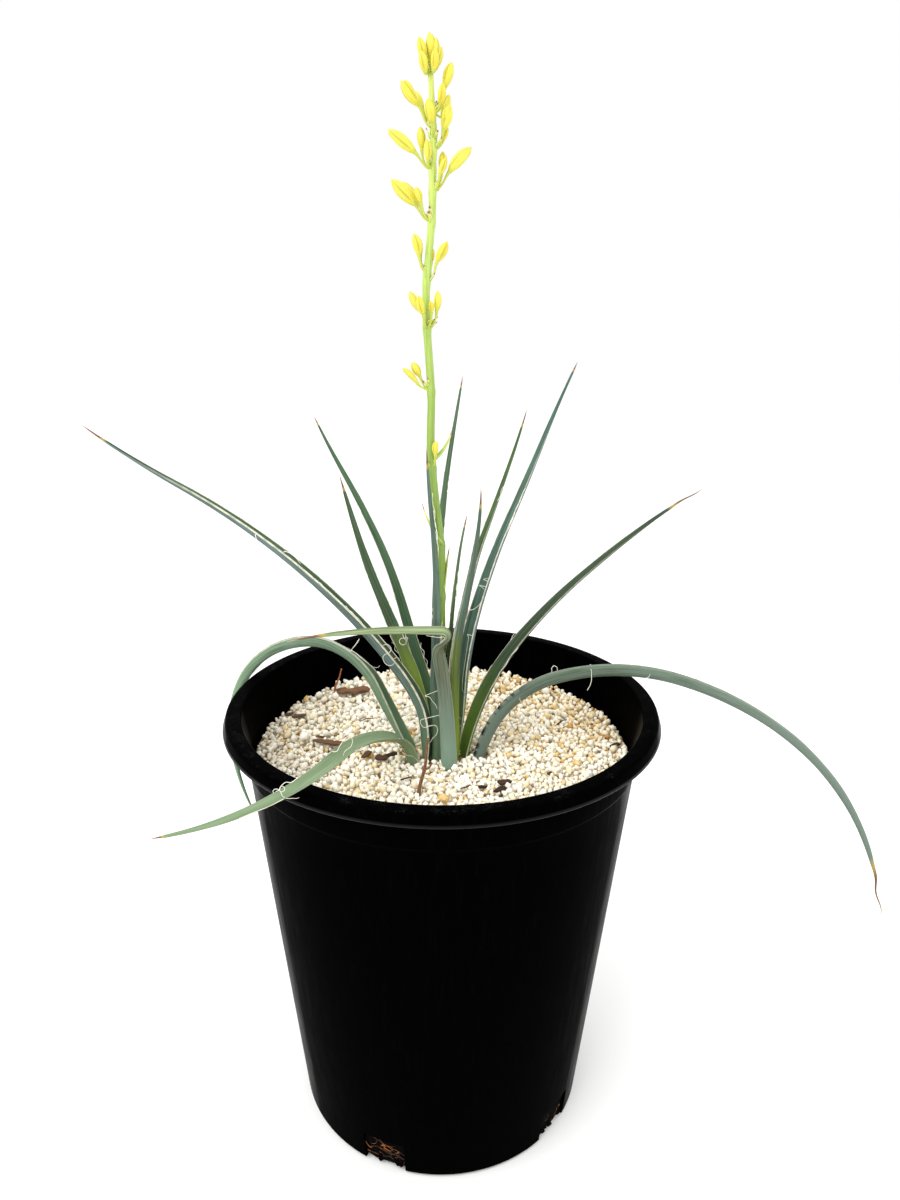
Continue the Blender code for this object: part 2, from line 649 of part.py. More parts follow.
def bud_cluster(name, height, rows, stalk_cutter, collection):
    """Buds on short pedicels that spring from one knot beside the stalk."""
    centre = stalk_centre(height)
    lean = sum((Vector(base).to_2d() for base, _, _ in rows), Vector((0, 0)))
    if lean.length < 1:
        lean = Vector((0, -1))
    lean = lean.normalized() * KNOT_OFFSET
    knot = centre + Vector((lean.x, lean.y, 0))
    if name == "bud_cluster_01":
        knot = centre + Vector((0, 0, TOP_KNOT_RISE))
    low = knot - Vector((0, 0, KNOT_RADIUS))
    high = knot + Vector((0, 0, KNOT_RADIUS * 1.4))
    pieces = [piece("knot", spindle, low, high, KNOT_RADIUS * 2)]
    for base, tip, width in rows:
        start = centre + Vector(base) * MM
        end = centre + Vector(tip) * MM
        inward = start + (end - start).normalized() * PEDICEL_SINK
        pieces.append(piece("pedicel", rod, knot, inward, PEDICEL_RADIUS * 1.3, PEDICEL_RADIUS))
        pieces.append(piece("bud", spindle, start, end, width * MM))
    finish = material("bud_yellow", "ece553", 0.5)
    return fuse(name, pieces, collection, finish, stalk_cutter)


def chip(name, row, surface, collection):
    """A bark chip lying on the pumice, just clear of the highest point under it."""
    x, y, heading, length, width, thickness = row
    turn = math.radians(heading)
    levels = []
    for u in np.linspace(-0.5, 0.5, 15) * length:
        for v in np.linspace(-0.5, 0.5, 9) * width:
            spot_x = x + u * math.cos(turn) - v * math.sin(turn)
            spot_y = y + u * math.sin(turn) + v * math.cos(turn)
            hit = surface.ray_cast(Vector((spot_x * MM, spot_y * MM, POT_HEIGHT)), Vector((0, 0, -1)))
            levels.append(hit[0].z)
    bm = bmesh.new()
    shape = Matrix.Diagonal((length * MM, width * MM, thickness * MM, 1))
    bmesh.ops.create_cube(bm, size=1, matrix=shape)
    for vert in bm.verts:
        if vert.co.x > 0:
            vert.co.y *= 0.55
    item = add_object(name, mesh_from_bmesh(name, bm), collection, material("bark", "5f3d27", 0.9))
    item.location = (x * MM, y * MM, max(levels) + GAP + thickness * MM / 2)
    item.rotation_euler.z = turn
    return item


def twig_points(row):
    base = PUMICE_LEVEL + PUMICE_RISE_TO_BACK * row[0][0][1] * MM
    return [(x * MM, y * MM, base + z * MM) for x, y, z in row[0]]


def main():
    clear_scene()
    parts = new_collection("potted_hesperaloe")
    cutters = new_collection("cutters")
    pot(parts, cutters)
    potting_soil(parts)
    crown(parts)
    holes = []
    for name, shape in LEAVES.items():
        tint = material("leaf_green", "6f8f7d", 0.5)
        smooth(add_object(name, blade(name, shape), parts, tint), 50)
        bore = blade(name, shape, HOLE_CLEARANCE, HOLE_BELOW, HOLE_TOP)
        holes.append(add_object(name + "_hole", bore, cutters))
    smooth(flower_stalk(parts))
    stalk_cutter = stalk_tube("stalk_seat", cutters, GAP * 1.2)
    holes.append(stalk_tube("stalk_hole", cutters, HOLE_CLEARANCE))
    holes[-1].location.z = -0.002
    for name, row in TWIGS.items():
        points = twig_points(row)
        radius = row[1] * MM
        bark = material("bark", "5f3d27", 0.9)
        smooth(curve_tube(name, points, [radius] * len(points), parts, bark))
        wide = [radius + HOLE_CLEARANCE] * len(points)
        below = [(points[0][0], points[0][1], points[0][2] - 0.001)] + points[1:]
        holes.append(curve_tube(name + "_hole", below, wide, cutters))
    dressing = pumice(parts, holes)
    for hole in holes:
        make_cutter(hole)
    make_cutter(stalk_cutter)
    for name, (height, rows) in BUD_CLUSTERS.items():
        smooth(bud_cluster(name, height, rows, stalk_cutter, parts), 50)
    surface = BVHTree.FromObject(dressing, bpy.context.evaluated_depsgraph_get())
    for name, row in CHIPS.items():
        chip(name, row, surface, parts)
    for name in ("pot", "potting_soil", "crown"):
        smooth(bpy.data.objects[name])


main()
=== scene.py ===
import math
from functools import partial

import bpy
import numpy as np
from mathutils import Matrix, Vector


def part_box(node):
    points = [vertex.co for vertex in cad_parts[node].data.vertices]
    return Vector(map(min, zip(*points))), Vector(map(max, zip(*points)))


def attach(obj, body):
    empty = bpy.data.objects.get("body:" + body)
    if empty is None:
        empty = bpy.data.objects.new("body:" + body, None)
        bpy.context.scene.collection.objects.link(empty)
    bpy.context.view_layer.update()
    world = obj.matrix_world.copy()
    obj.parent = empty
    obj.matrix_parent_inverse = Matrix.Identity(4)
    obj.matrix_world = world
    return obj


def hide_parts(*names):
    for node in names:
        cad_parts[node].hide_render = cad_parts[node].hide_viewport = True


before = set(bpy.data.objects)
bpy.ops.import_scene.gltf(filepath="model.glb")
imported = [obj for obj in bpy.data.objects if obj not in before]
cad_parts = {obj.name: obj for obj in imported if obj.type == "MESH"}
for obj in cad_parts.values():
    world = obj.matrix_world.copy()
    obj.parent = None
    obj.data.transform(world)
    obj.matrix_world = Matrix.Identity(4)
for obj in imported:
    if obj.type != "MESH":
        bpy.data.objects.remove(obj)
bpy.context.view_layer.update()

mm = 0.001
random = np.random.RandomState(11)
print("frame loaded")


# sRGB hex to linear colour: c / 12.92 up to 0.04045, and ((c + 0.055) / 1.055) ^ 2.4 above it
def linear(hexCode):
    c = np.array([int(hexCode[i:i + 2], 16) for i in (0, 2, 4)]) / 255
    c = np.where(c <= 0.04045, c / 12.92, ((c + 0.055) / 1.055) ** 2.4)
    return (*c, 1.0)


# fills a node's sockets: another node's output is linked, a hex code is a colour, and the rest is set
def fill(tree, node, values):
    for key, value in values.items():
        if isinstance(value, bpy.types.NodeSocket):
            tree.links.new(value, node.inputs[key])
        else:
            node.inputs[key].default_value = linear(value) if isinstance(value, str) else value


# adds a node and returns its named output, or its first one in use: a number is a socket's place,
# a name is a setting or a socket, and a ramp is rows of position and hex code
def addNode(tree, kind, placed={}, output=None, ramp=(), **named):
    node = tree.nodes.new("ShaderNode" + kind)
    if kind == "Mix":  # here it always mixes colours
        named["data_type"] = "RGBA"
    for key, value in named.items():
        if hasattr(node, key):
            setattr(node, key, value)
    fill(tree, node, {**placed, **{key: value for key, value in named.items() if not hasattr(node, key)}})
    if ramp:
        elements = node.color_ramp.elements
        for element, (position, colour) in zip(elements, (ramp[0], ramp[-1])):
            element.position, element.color = position, linear(colour)
        for position, colour in ramp[1:-1]:
            elements.new(position).color = linear(colour)
    return node.outputs[output] if output else next(socket for socket in node.outputs if socket.enabled)


# a material: nodes is a function that adds its nodes and returns what its shader's sockets get
def makeMaterial(name, nodes):
    made = bpy.data.materials.new(name)
    made.use_nodes = True
    tree = made.node_tree
    fill(tree, tree.nodes["Principled BSDF"], nodes(partial(addNode, tree)))
    return made


# a plain finish: noise of a scale on the object's coordinates gives the colour and the bump
def makeMottled(name, ramp, sockets, bump={}, stretch=(), **noise):
    def nodes(add):
        place = add("TexCoord", output="Object")
        place = add("Mapping", Scale=stretch, Vector=place) if stretch else place
        pattern = add("TexNoise", Vector=place, **noise)
        made = {**sockets, "Base Color": add("ValToRGB", {0: pattern}, ramp=ramp)}
        return {**made, "Normal": add("Bump", Height=pattern, **bump)} if bump else made

    return makeMaterial(name, nodes)


# an object of its data, put in the scene
def putObject(name, data):
    item = bpy.data.objects.new(name, data)
    bpy.context.scene.collection.objects.link(item)
    return item


# a CAD node keeps its shape and gets its material
def dress(nodeName, material):
    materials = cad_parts[nodeName].data.materials
    materials.clear()
    materials.append(material)


# a mesh object from skins, each its points, its sets of faces of one size and the numbers kept for
# each point: the points follow each other and the faces are renumbered
def makePiece(name, skins, material, nodes=(), smooth=True):
    sets, offset = {}, 0
    for points, faceSets, _ in skins:
        for faces in faceSets:
            sets.setdefault(faces.shape[1], []).append(faces + offset)
        offset += len(points)
    points = np.vstack([skin[0] for skin in skins])
    corners = np.concatenate([faces.ravel() for rows in sets.values() for faces in rows]).astype(np.int32)
    sizes = np.concatenate([np.full(sum(map(len, rows)), size) for size, rows in sets.items()])
    mesh = bpy.data.meshes.new(name)
    mesh.vertices.add(len(points))
    mesh.vertices.foreach_set("co", np.asarray(points, np.float32).ravel())
    mesh.loops.add(len(corners))
    mesh.loops.foreach_set("vertex_index", corners)
    mesh.polygons.add(len(sizes))
    mesh.polygons.foreach_set("loop_start", (np.cumsum(sizes) - sizes).astype(np.int32))
    for label in skins[0][2]:
        values = np.concatenate([skin[2][label] for skin in skins]).astype(np.float32)
        kind, field = ("FLOAT_VECTOR", "vector") if values.ndim == 2 else ("FLOAT", "value")
        mesh.attributes.new(label, kind, "POINT").data.foreach_set(field, values.ravel())
    mesh.update(calc_edges=True)
    if smooth:
        mesh.shade_smooth()
    mesh.materials.append(material)
    piece = putObject(name, mesh)
    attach(piece, "root")
    if nodes:
        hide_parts(*nodes)
    return piece


# the faces of a closed skin over a grid of points, row by row: quads whose last column joins the
# first, and at each end a fan to a middle point; flipped, they face the other way
def skinFaces(rows, columns, flipped=False):
    column = np.arange(columns)
    after = (column + 1) % columns
    row = np.arange(rows - 1)[:, None] * columns
    quads = [row + column, row + after, row + columns + after, row + columns + column]
    quads = np.stack(quads, -1).reshape(-1, 4)
    last, low = (rows - 1) * columns, np.full(columns, rows * columns)
    fans = np.vstack([np.stack([after, column, low], -1),
                      np.stack([column + last, after + last, low + 1], -1)])
    return [quads[:, ::-1], fans[:, [1, 0, 2]]] if flipped else [quads, fans]


# one closed skin: point = centre + u * across + v * inner, over clockwise sections (u, v)
def sweep(centres, across, inner, sections, kept={}):
    points = centres[:, None] + sections[..., :1] * across[:, None] + sections[..., 1:] * inner[:, None]
    ends = np.stack([points[0].mean(0), points[-1].mean(0)])
    return np.vstack([points.reshape(-1, 3), ends]), skinFaces(*sections.shape[:2]), kept


# a skin with more kept for its points: an array, or one number for all
def tagged(skin, **values):
    points, faces, kept = skin
    for label, value in values.items():
        kept = {**kept, label: value if np.ndim(value) else np.full(len(points), value)}
    return points, faces, kept


# frames without roll: each inner vector is the last one with its part along the path taken out,
# and across = along x inner
def carriedFrames(along, firstInner):
    inner = np.empty_like(along)
    current = np.array(firstInner, float)
    for row, direction in enumerate(along):
        current = current - direction * (current @ direction)
        current = current / np.linalg.norm(current)
        inner[row] = current
    return np.cross(along, inner), inner


# unit directions of a path, from the differences of its points
def directions(path):
    along = np.gradient(path, axis=0)
    return along / np.linalg.norm(along, axis=1)[:, None]


# even angles around a ring
def around(count):
    return np.linspace(0, 2 * math.pi, count, endpoint=False)


# a round section: u = radius * sin(a), v = radius * cos(a)
def roundSections(radius, angle):
    return np.stack([radius * np.sin(angle), radius * np.cos(angle)], -1)


# a round tube along a path, its radius times 1 + ripple * cos(lobes * a)
def tube(path, radii, sides, ripple=0.0, lobes=3):
    along = directions(path)
    across, inner = carriedFrames(along, (0, 0, 1) if abs(along[0][2]) < 0.8 else (1, 0, 0))
    angle = around(sides)
    radius = np.asarray(radii)[:, None] * (1 + ripple * np.cos(lobes * angle)[None])
    return sweep(path, across, inner, roundSections(radius, angle))


# a curve through given points: straight stretches at an even spacing, then a running average
def smoothPath(corners, count, rounds=2):
    corners = np.asarray(corners, float)
    steps = np.linalg.norm(np.diff(corners[:, :3], axis=0), axis=1)
    reach = np.concatenate([[0], np.cumsum(steps)])
    even = np.linspace(0, reach[-1], count)
    path = np.stack([np.interp(even, reach, column) for column in corners.T], 1)
    width = max(1, count // (3 * len(corners)))
    for _ in range(rounds):
        padded = np.vstack([path[:1]] * width + [path] + [path[-1:]] * width)
        sums = np.cumsum(np.vstack([padded[:1] * 0, padded]), axis=0)
        inside = (sums[2 * width + 1:] - sums[:-2 * width - 1]) / (2 * width + 1)
        path[1:-1] = inside[1:-1]
    return path


# 0 below low, 1 above high, and 3x^2 - 2x^3 between
def ease(value, low, high):
    x = np.clip((value - low) / (high - low), 0, 1)
    return x * x * (3 - 2 * x)


# the level direction of a heading in degrees
def outward(heading):
    return np.array([math.cos(math.radians(heading)), math.sin(math.radians(heading)), 0])


# the pot: black high-density polyethylene, blow moulded and used, so it is a deep black that shines
# only at a low angle, with thin matt dust on what faces up and a hem rubbed grey by handling
potLook = {
    "height": 306, "rim": 144, "rimInner": 133.5, "skirt": 145.7, "skirtDrop": 8.2, "wall": 2.0,
    "neck": 134.6, "ledge": 132.6, "ledgeDrop": 30, "ledgeStep": 1.6, "base": 103, "baseRound": 3.0,
    "floor": 3.0, "floorHole": 60, "segments": 200, "wallRows": 14,
    "notches": 5, "notchFirst": 248.5, "notchWidth": 30, "notchHeight": 26, "notchDepth": 8,
}
notchHeadings = [math.radians(potLook["notchFirst"] + 360 // potLook["notches"] * index)
                 for index in range(potLook["notches"])]


# outer radius of the wall in mm, a straight taper from the base to the ledge
def wallRadius(z):
    look = potLook
    top = look["height"] - look["ledgeDrop"]
    return look["base"] + (look["ledge"] - look["ledgeStep"] - look["base"]) * z / top


# points of an arc: centre + radius * (cos a, sin a)
def arcPoints(centre, radius, start, end, steps):
    angle = np.radians(np.linspace(start, end, steps))
    return np.stack([centre[0] + radius * np.cos(angle), centre[1] + radius * np.sin(angle)], 1)


# black polyethylene: a moulded skin of carbon-black plastic, deep black with a faint waxy sheen
def potNodes(add):
    place = add("TexCoord", output="Object")
    height = add("SeparateXYZ", {0: place}, "Z")
    upward = add("SeparateXYZ", {0: add("NewGeometry", output="Normal")}, "Z")
    # dust gathers in patches of 6 to 12 mm with a grit of about 1 mm, on what faces up
    patches = add("TexNoise", Scale=90, Detail=5, Roughness=0.65, Vector=place)
    grit = add("TexNoise", Scale=700, Detail=2, Vector=place)
    gathered = add("MapRange", {0: patches, 1: 0.5, 2: 0.75})
    gritty = add("MapRange", {0: grit, 1: 0.45, 2: 0.75})
    shown = add("MapRange", {0: upward, 1: 0.6, 2: 1, 4: 0.22})
    dust = add("Math", {0: gathered, 1: gritty}, operation="MULTIPLY")
    dust = add("Math", {0: dust, 1: shown}, operation="MULTIPLY")
    # rubbed streaks run down the wall, about 3 mm wide and 60 mm long
    drawn = add("Mapping", Scale=(300, 300, 16), Vector=place)
    streaks = add("TexNoise", Scale=1, Detail=4, Roughness=0.6, Vector=drawn)
    rubbed = add("MapRange", {0: streaks, 1: 0.55, 2: 0.8, 4: 0.5})
    colour = add("Mix", {0: rubbed, 6: "010101", 7: "060707"})
    colour = add("Mix", {0: dust, 6: colour, 7: "4a4f4c"})
    # the skin hardly shines from the front and more at a low angle, most of all at the rubbed hem
    low = add("LayerWeight", output="Facing", Blend=0.5)
    sheen = add("MapRange", {0: low, 1: 0.8, 2: 1, 3: 0.002, 4: 0.06})
    flat = add("VectorMath", {0: place, 1: (1, 1, 0)}, operation="MULTIPLY")
    fromAxis = add("VectorMath", {0: flat}, operation="LENGTH")
    hem = add("MapRange", {0: height, 1: 0.3002, 2: 0.2985, 4: 0.16})
    skirt = add("MapRange", {0: height, 1: 0.2968, 2: 0.2975})
    outer = add("MapRange", {0: fromAxis, 1: 0.139, 2: 0.141})
    rim = add("Math", {0: hem, 1: skirt}, operation="MULTIPLY")
    rim = add("Math", {0: rim, 1: outer}, operation="MULTIPLY")
    # the moulded skin ripples by 0.05 mm over about 12 mm, with a fine grain on top
    ripple = add("TexNoise", Scale=80, Detail=6, Roughness=0.55, Vector=place)
    return {"IOR": 1.5, "Base Color": colour,
            "Specular IOR Level": add("Math", {0: sheen, 1: rim}, operation="MAXIMUM"),
            "Roughness": add("MapRange", {0: streaks, 1: 0.3, 2: 0.75, 3: 0.34, 4: 0.55}),
            "Normal": add("Bump", Strength=0.3, Distance=0.0006, Height=ripple)}


# the pot's surface: point = (radius * cos a, radius * sin a, height) of a profile that runs up the
# inside, over the lip and its skirt and down the outside, with boxes cut out of the base corner
def buildPot():
    look = potLook
    top, wall, floor, rim, neck = [look[key] for key in ("height", "wall", "floor", "rim", "neck")]
    ledge, skirt, bend = top - look["ledgeDrop"], top - look["skirtDrop"], look["baseRound"]
    share = np.linspace(0, 1, look["wallRows"])[:, None]
    inside, outside = floor + (ledge - floor) * share, (ledge - 3) + (bend - ledge + 3) * share
    under = [(rim - wall * 1.2, top - wall - 1.5), (neck + 3, top - wall - 0.6), (neck, top - wall - 2.5),
             ((neck + look["ledge"]) / 2, (top + ledge) / 2)]
    step = [(look["ledge"], ledge + 0.5), (look["ledge"] - 0.25, ledge - 0.3),
            (look["ledge"] - look["ledgeStep"] + 0.1, ledge - look["ledgeStep"])]
    profile = np.vstack([
        [(look["floorHole"], floor)], np.hstack([wallRadius(inside) - wall, inside]),
        arcPoints((look["rimInner"] + 1.6, top - 1.6), 1.6, 180, 90, 7),
        arcPoints((rim - 2.4, top - 2.4), 2.4, 90, 8, 8),
        arcPoints((look["skirt"] - 0.7, skirt + 0.7), 0.7, 10, -160, 7),
        under, step, np.hstack([wallRadius(outside), outside]),
        arcPoints((wallRadius(bend) - bend, bend), bend, -5, -90, 7), [(look["floorHole"], 0)],
    ]) * mm
    angle = around(look["segments"])
    ring = np.stack([profile[:, :1] * np.cos(angle), profile[:, :1] * np.sin(angle),
                     np.repeat(profile[:, 1:], len(angle), 1)], -1)
    points = np.vstack([ring.reshape(-1, 3), [(0, 0, floor * mm)], [(0, 0, 0)]])
    skin = (points, skinFaces(*ring.shape[:2], flipped=True), {})
    blackPolyethylene = makeMaterial("blackPolyethylene", potNodes)
    pot = makePiece("nursery_pot", [skin], blackPolyethylene, ["pot"])
    depth, width, height = look["notchDepth"] + 20, look["notchWidth"], look["notchHeight"] + 10
    corners = np.array([(x, y, z) for x in (-1, 1) for y in (-1, 1) for z in (-1, 1)], float) / 2
    corners = corners * (depth, width, height)
    corners = corners + (look["base"] - look["notchDepth"] + depth / 2, 0, look["notchHeight"] - height / 2)
    sides = [(0, 1, 3, 2), (4, 6, 7, 5), (0, 4, 5, 1), (2, 3, 7, 6), (0, 2, 6, 4), (1, 5, 7, 3)]
    cutters = []
    for heading in notchHeadings:
        sine, cosine = math.sin(heading), math.cos(heading)
        turn = np.array([[cosine, -sine, 0], [sine, cosine, 0], [0, 0, 1]])
        mesh = bpy.data.meshes.new("notchBox")
        mesh.from_pydata((corners @ turn.T * mm).tolist(), [], sides)
        cutters.append(putObject("notchBox", mesh))
        cut = pot.modifiers.new("notch", "BOOLEAN")
        cut.object = cutters[-1]
        cut.solver = "EXACT"
    mesh = bpy.data.meshes.new_from_object(pot.evaluated_get(bpy.context.evaluated_depsgraph_get()))
    pot.modifiers.clear()
    pot.data = mesh
    mesh.shade_smooth()
    mesh.set_sharp_from_angle(angle=math.radians(40))
    for cutter in cutters:
        bpy.data.objects.remove(cutter, do_unlink=True)


buildPot()
print("pot built")


# soil and roots: peat-dark soil in crumbs of 2 to 5 mm, and tan fibrous roots at the notches
soilLook = {"roots": (16, 4, 4, 4, 3), "rootHeight": (5, 24), "rootRadius": (0.09, 0.2), "rootStations": 22,
            "clodsPerNotch": 34, "clodSize": (1.2, 2.8), "lowest": 0.6}
pottingSoil = makeMottled(
    "pottingSoil", ((0.3, "010101"), (0.6, "050302"), (0.85, "170e07")),
    {"Roughness": 0.95, "Specular IOR Level": 0.04}, {"Strength": 0.9, "Distance": 0.002},
    Scale=280, Detail=6, Roughness=0.7)
rootFibre = makeMottled("rootFibre", ((0.4, "140a05"), (0.52, "5a300f"), (0.7, "cf7a28")),
                        {"Roughness": 0.7}, Scale=160, Detail=3)


# roots and clods in each notch: on the soil at radius r and height z, point = (r cos a, r sin a, z),
# where a root's angle and height wander by sums of sines
def buildSoil():
    roots, clods = [], []
    halfAngle = potLook["notchWidth"] / 2 / potLook["base"]
    for heading, rootCount in zip(notchHeadings, soilLook["roots"]):
        for _ in range(rootCount):
            s = np.linspace(0, 1, soilLook["rootStations"])
            start, end = random.uniform(-halfAngle, halfAngle, 2) * 1.05
            low, high = random.uniform(*soilLook["rootHeight"], 2)
            wander = 1.6 * np.sin(s * random.uniform(3, 9) + random.uniform(0, 6))
            z = np.clip(low + (high - low) * s * random.uniform(0.2, 1) + wander, 4, 25)
            angle = heading + start + (end - start) * s + 0.012 * np.sin(s * random.uniform(4, 11))
            radius = wallRadius(z) - 2.3 + random.uniform(0.1, 1.2) + 0.3 * np.sin(s * 7)
            path = np.stack([radius * np.cos(angle), radius * np.sin(angle), z], 1) * mm
            thickness = random.uniform(*soilLook["rootRadius"]) * mm * (1 - 0.5 * s)
            roots.append(tube(path, thickness, 5))
        for _ in range(soilLook["clodsPerNotch"]):
            size = random.uniform(*soilLook["clodSize"])
            angle = heading + random.uniform(-halfAngle, halfAngle) * 0.92
            z = soilLook["lowest"] + size + random.uniform(0, 4)
            radius = wallRadius(z) - 2.5 - random.uniform(0, 4)
            s = np.linspace(-0.97, 0.97, 7)
            flat = np.ones(len(s)) * radius
            path = np.stack([flat * np.cos(angle), flat * np.sin(angle), z + s * size], 1) * mm
            path[:, 0] += np.linspace(0, 1e-5, 7)  # a hair off plumb
            clods.append(tube(path, size * mm * np.sqrt(1 - s * s), 7, 0.18))
    makePiece("notch_roots", roots, rootFibre)
    makePiece("notch_clods", clods, pottingSoil)


buildSoil()
dress("potting_soil", pottingSoil)
print("soil built")


# leaves: thick waxy blades of hesperaloe, blue-green under a pale bloom, channelled inside, with a
# papery pale margin that sheds fibres and a dry brown point
rootHeight = 250
pumiceLevel, pumiceRise = 273.5, 0.028
leafLook = {
    "stations": 150, "acrossPoints": 15, "spineSteps": 240, "keys": (0, 0.1, 0.22, 0.4, 0.6, 0.8, 1),
    "margin": 0.8, "thickness": 2.3, "tipWidth": 0.9, "tipThickness": 0.9, "slimWidth": 6, "dry": 12,
    "colourChange": (0.49, 0.56), "stripeAndShadeWidth": 0.3, "kink": 1.6, "swellAt": 0.23, "scorch": 0.84,
}
# outer, inner and foot are colours of the two faces and of the lowest part (two codes: the colour
# changes at the fold), edge is how clear the margin is and stripeAndShade how dark the middle is,
# a darker midline that is partly painted shade of the channel's hollow
leafShapes = {
    "leaf_01": dict(root=(-12.5, -17.5), length=342, width=(12, 13), rise=(95, 88, 56, 46, 37, 28, 36),
        heading=(171, 173), twist=(-8, 12, 10, 10, 10), fold=1.7, outer="74888a", inner="4c6650",
        foot="5d7a62", edge=0.9, dry=20),
    "leaf_02": dict(root=(-19, -12), length=327, width=(12, 10, 3), rise=(93, 55, 60, -10, -49, -90, -127),
        heading=(158, 147), twist=(0, 30, 50, 55), fold=1.7, outer="86a08c", inner="5f7a60", foot="6f8c6c",
        edge=0.5),
    "leaf_03": dict(root=(-20, -24), length=237, width=(11, 11.5), rise=(93, 80, 27, 11, -3, -6, -5),
        heading=(225, 250, 188), outer="95a489", inner="8b9c81", foot="78906a", edge=0.15, dry=8),
    "leaf_04": dict(root=(5, -29), length=220, width=(11.5, 9.5), rise=(89, 88, 85, 80, 118, 134, 131, 60,
        1, -2, -6, -14), heading=(180, 182), facing=265, twist=(0, 0, 0, 8, 55, 85, 88, 84, 75, 68, 66,
        66), keys=(0, 0.15, 0.32, 0.45, 0.485, 0.495, 0.513, 0.535, 0.557, 0.72, 0.85, 1),
        outer="7f8878 99aa81", inner="7f8878 95a67e", foot="84a08e", edge=0.15, stripeAndShade=0.6, dry=27),
    "leaf_05": dict(root=(-12.4, -6), length=220, width=(7.5, 9.5), rise=(90, 93, 78, 61, 60, 68, 70),
        heading=(144, 142), twist=(0, -28, -28, -25, -25), outer="4f7058", inner="4a6a4c", foot="a4bd34",
        edge=0.5, dry=14, footScale=1.35, stripeAndShade=1.0),
    "leaf_06": dict(root=(-2.5, -4), length=298, width=(10, 8, 0.6), rise=(90, 80, 55, 61, 43, 36, 42),
        heading=(125, 124), outer="637d70", inner="4a684c", foot="4f6f48", edge=0.9, dry=12),
    "leaf_07": dict(root=(-4, 9), length=280, width=(9, 6.5), rise=(90, 86, 88, 91, 74, 57, 56),
        heading=(75, 75), facing=60, outer="72827a", inner="546e54", foot="567248", edge=0.5, dry=10),
    "leaf_08": dict(root=(8, -3), length=308, width=(11, 9.5, 2), rise=(89, 75, 83, 65, 54, 56, 52),
        heading=(48, 49), twist=(0, -13, -17, -17, -17), fold=1.6, outer="748a8c", inner="55736a",
        foot="5a7f4c", edge=0.9, dry=9),
    "leaf_09": dict(root=(7, 7.6), length=279, width=(9, 7), rise=(90, 85, 79, 71, 44, 46, 54),
        heading=(64, 64), twist=(0, -28, -28, -28, -28), fold=1.6, outer="7c8a7f", inner="4f6a3c",
        foot="5f7f50", edge=0.9, dry=18),
    "leaf_10": dict(root=(8, -19), length=206, width=(10, 9.5, 1.2), rise=(87, 85, 93, 88, 72, 76, 93),
        heading=(49, 49), facing=320, outer="6e8343 5d756a", inner="657a3c 4f6a60", foot="8aa03a",
        edge=0.4, stripeAndShade=0.9, dry=16),
    "leaf_11": dict(root=(6.5, -7), length=191, width=(5, 4), rise=(90, 98, 97, 91, 73, 63, 40),
        heading=(74, 75), facing=40, outer="6e8068", inner="627a56", foot="6a8a45", edge=0.4),
    "leaf_12": dict(root=(14, -14), length=279, width=(11, 9, 3.3), rise=(91, 76, 64, 46, 35, 30, 23),
        heading=(24, 24), outer="3a4b3b", inner="3f523d", foot="5f7d2c", edge=0.5, dry=33),
    "leaf_13": dict(root=(24, -14), length=452, width=(11, 10.5, 3.3), rise=(90, 61, 14, -18, -38, -60,
        -81), heading=(4, 2), facing=314, outer="74867a 76876c", inner="6c8076 72836a", foot="6c7c72",
        edge=0.12, dry=58, scorch=1),
    "leaf_14": dict(root=(-6, -19), length=231, width=(7, 6), rise=(91, 95, 85, 94, 89, 84, 88),
        heading=(160, 160), facing=240, outer="637b76", inner="5e766c", foot="5f7a5a", edge=0.3,
        stripeAndShade=0.5, dry=15),
    "leaf_15": dict(root=(-6.2, -13), length=165, width=(4.5, 3.5), rise=(92, 92, 90, 88, 90, 92, 92),
        heading=(180, 180), facing=185, outer="72806d", inner="627a56", foot="6f8a55", edge=0.3),
}


# the midrib: the rise and heading read between their keys give unit steps, and their running sum is
# the path; frames follow it without roll and then turn by the twist. All in mm at even shares t
def leafSpine(shape, t):
    steps = leafLook["spineSteps"]
    middle = (np.arange(steps) + 0.5) / steps
    keys = shape.get("keys", leafLook["keys"])

    def between(values, at):
        own = keys if len(values) == len(keys) else np.linspace(0, 1, len(values))
        return np.interp(at, own, values)

    rise, heading = [np.radians(between(shape[key], middle)) for key in ("rise", "heading")]
    along = np.stack([np.cos(rise) * np.cos(heading), np.cos(rise) * np.sin(heading), np.sin(rise)], 1)
    start = np.array([*shape["root"], rootHeight], float)
    path = np.vstack([start, start + np.cumsum(along * shape["length"] / steps, axis=0)])
    along = np.vstack([along[0], along])
    facing = math.radians(shape.get("facing", shape["heading"][0]))
    across, inner = carriedFrames(along, (-math.cos(facing), -math.sin(facing), 0))
    index = t * steps
    whole = np.arange(steps + 1)
    path, along, across, inner = [np.stack([np.interp(index, whole, rows[:, axis]) for axis in range(3)], 1)
                                  for rows in (path, along, across, inner)]
    turn = np.radians(between(shape.get("twist", (0, 0)), t))[:, None]
    turned = inner * np.cos(turn) + across * np.sin(turn)
    return path, np.cross(along, turned), turned


# blade sizes in mm: the width falls from base to middle as (1 - t)^6 and to the tip as 1 - t^2.2,
# swells by (r e^(1 - r))^3 with r = t / swellAt, the thickness and channel follow the width, and a
# fold deepens the channel above its foot
def bladeSize(shape, t):
    base, middle, swell = (*shape["width"], 0)[:3]
    look = leafLook
    reach = t / look["swellAt"]
    width = middle * (1 - t ** 2.2) + (base - middle) * (1 - t) ** 6 + look["tipWidth"] * t
    width = width + swell * (reach * np.exp(1 - reach)) ** 3
    thickness = look["thickness"] * np.minimum(1, width / look["slimWidth"]) * (1 - 0.35 * t)
    channel = width * (0.2 + 0.12 * np.minimum(1, 4 * t)) * (1 - 0.5 * t)
    channel = channel * (1 + (shape.get("fold", 1) - 1) * np.minimum(1, 6 * t))
    return width, np.maximum(thickness, look["tipThickness"]), channel


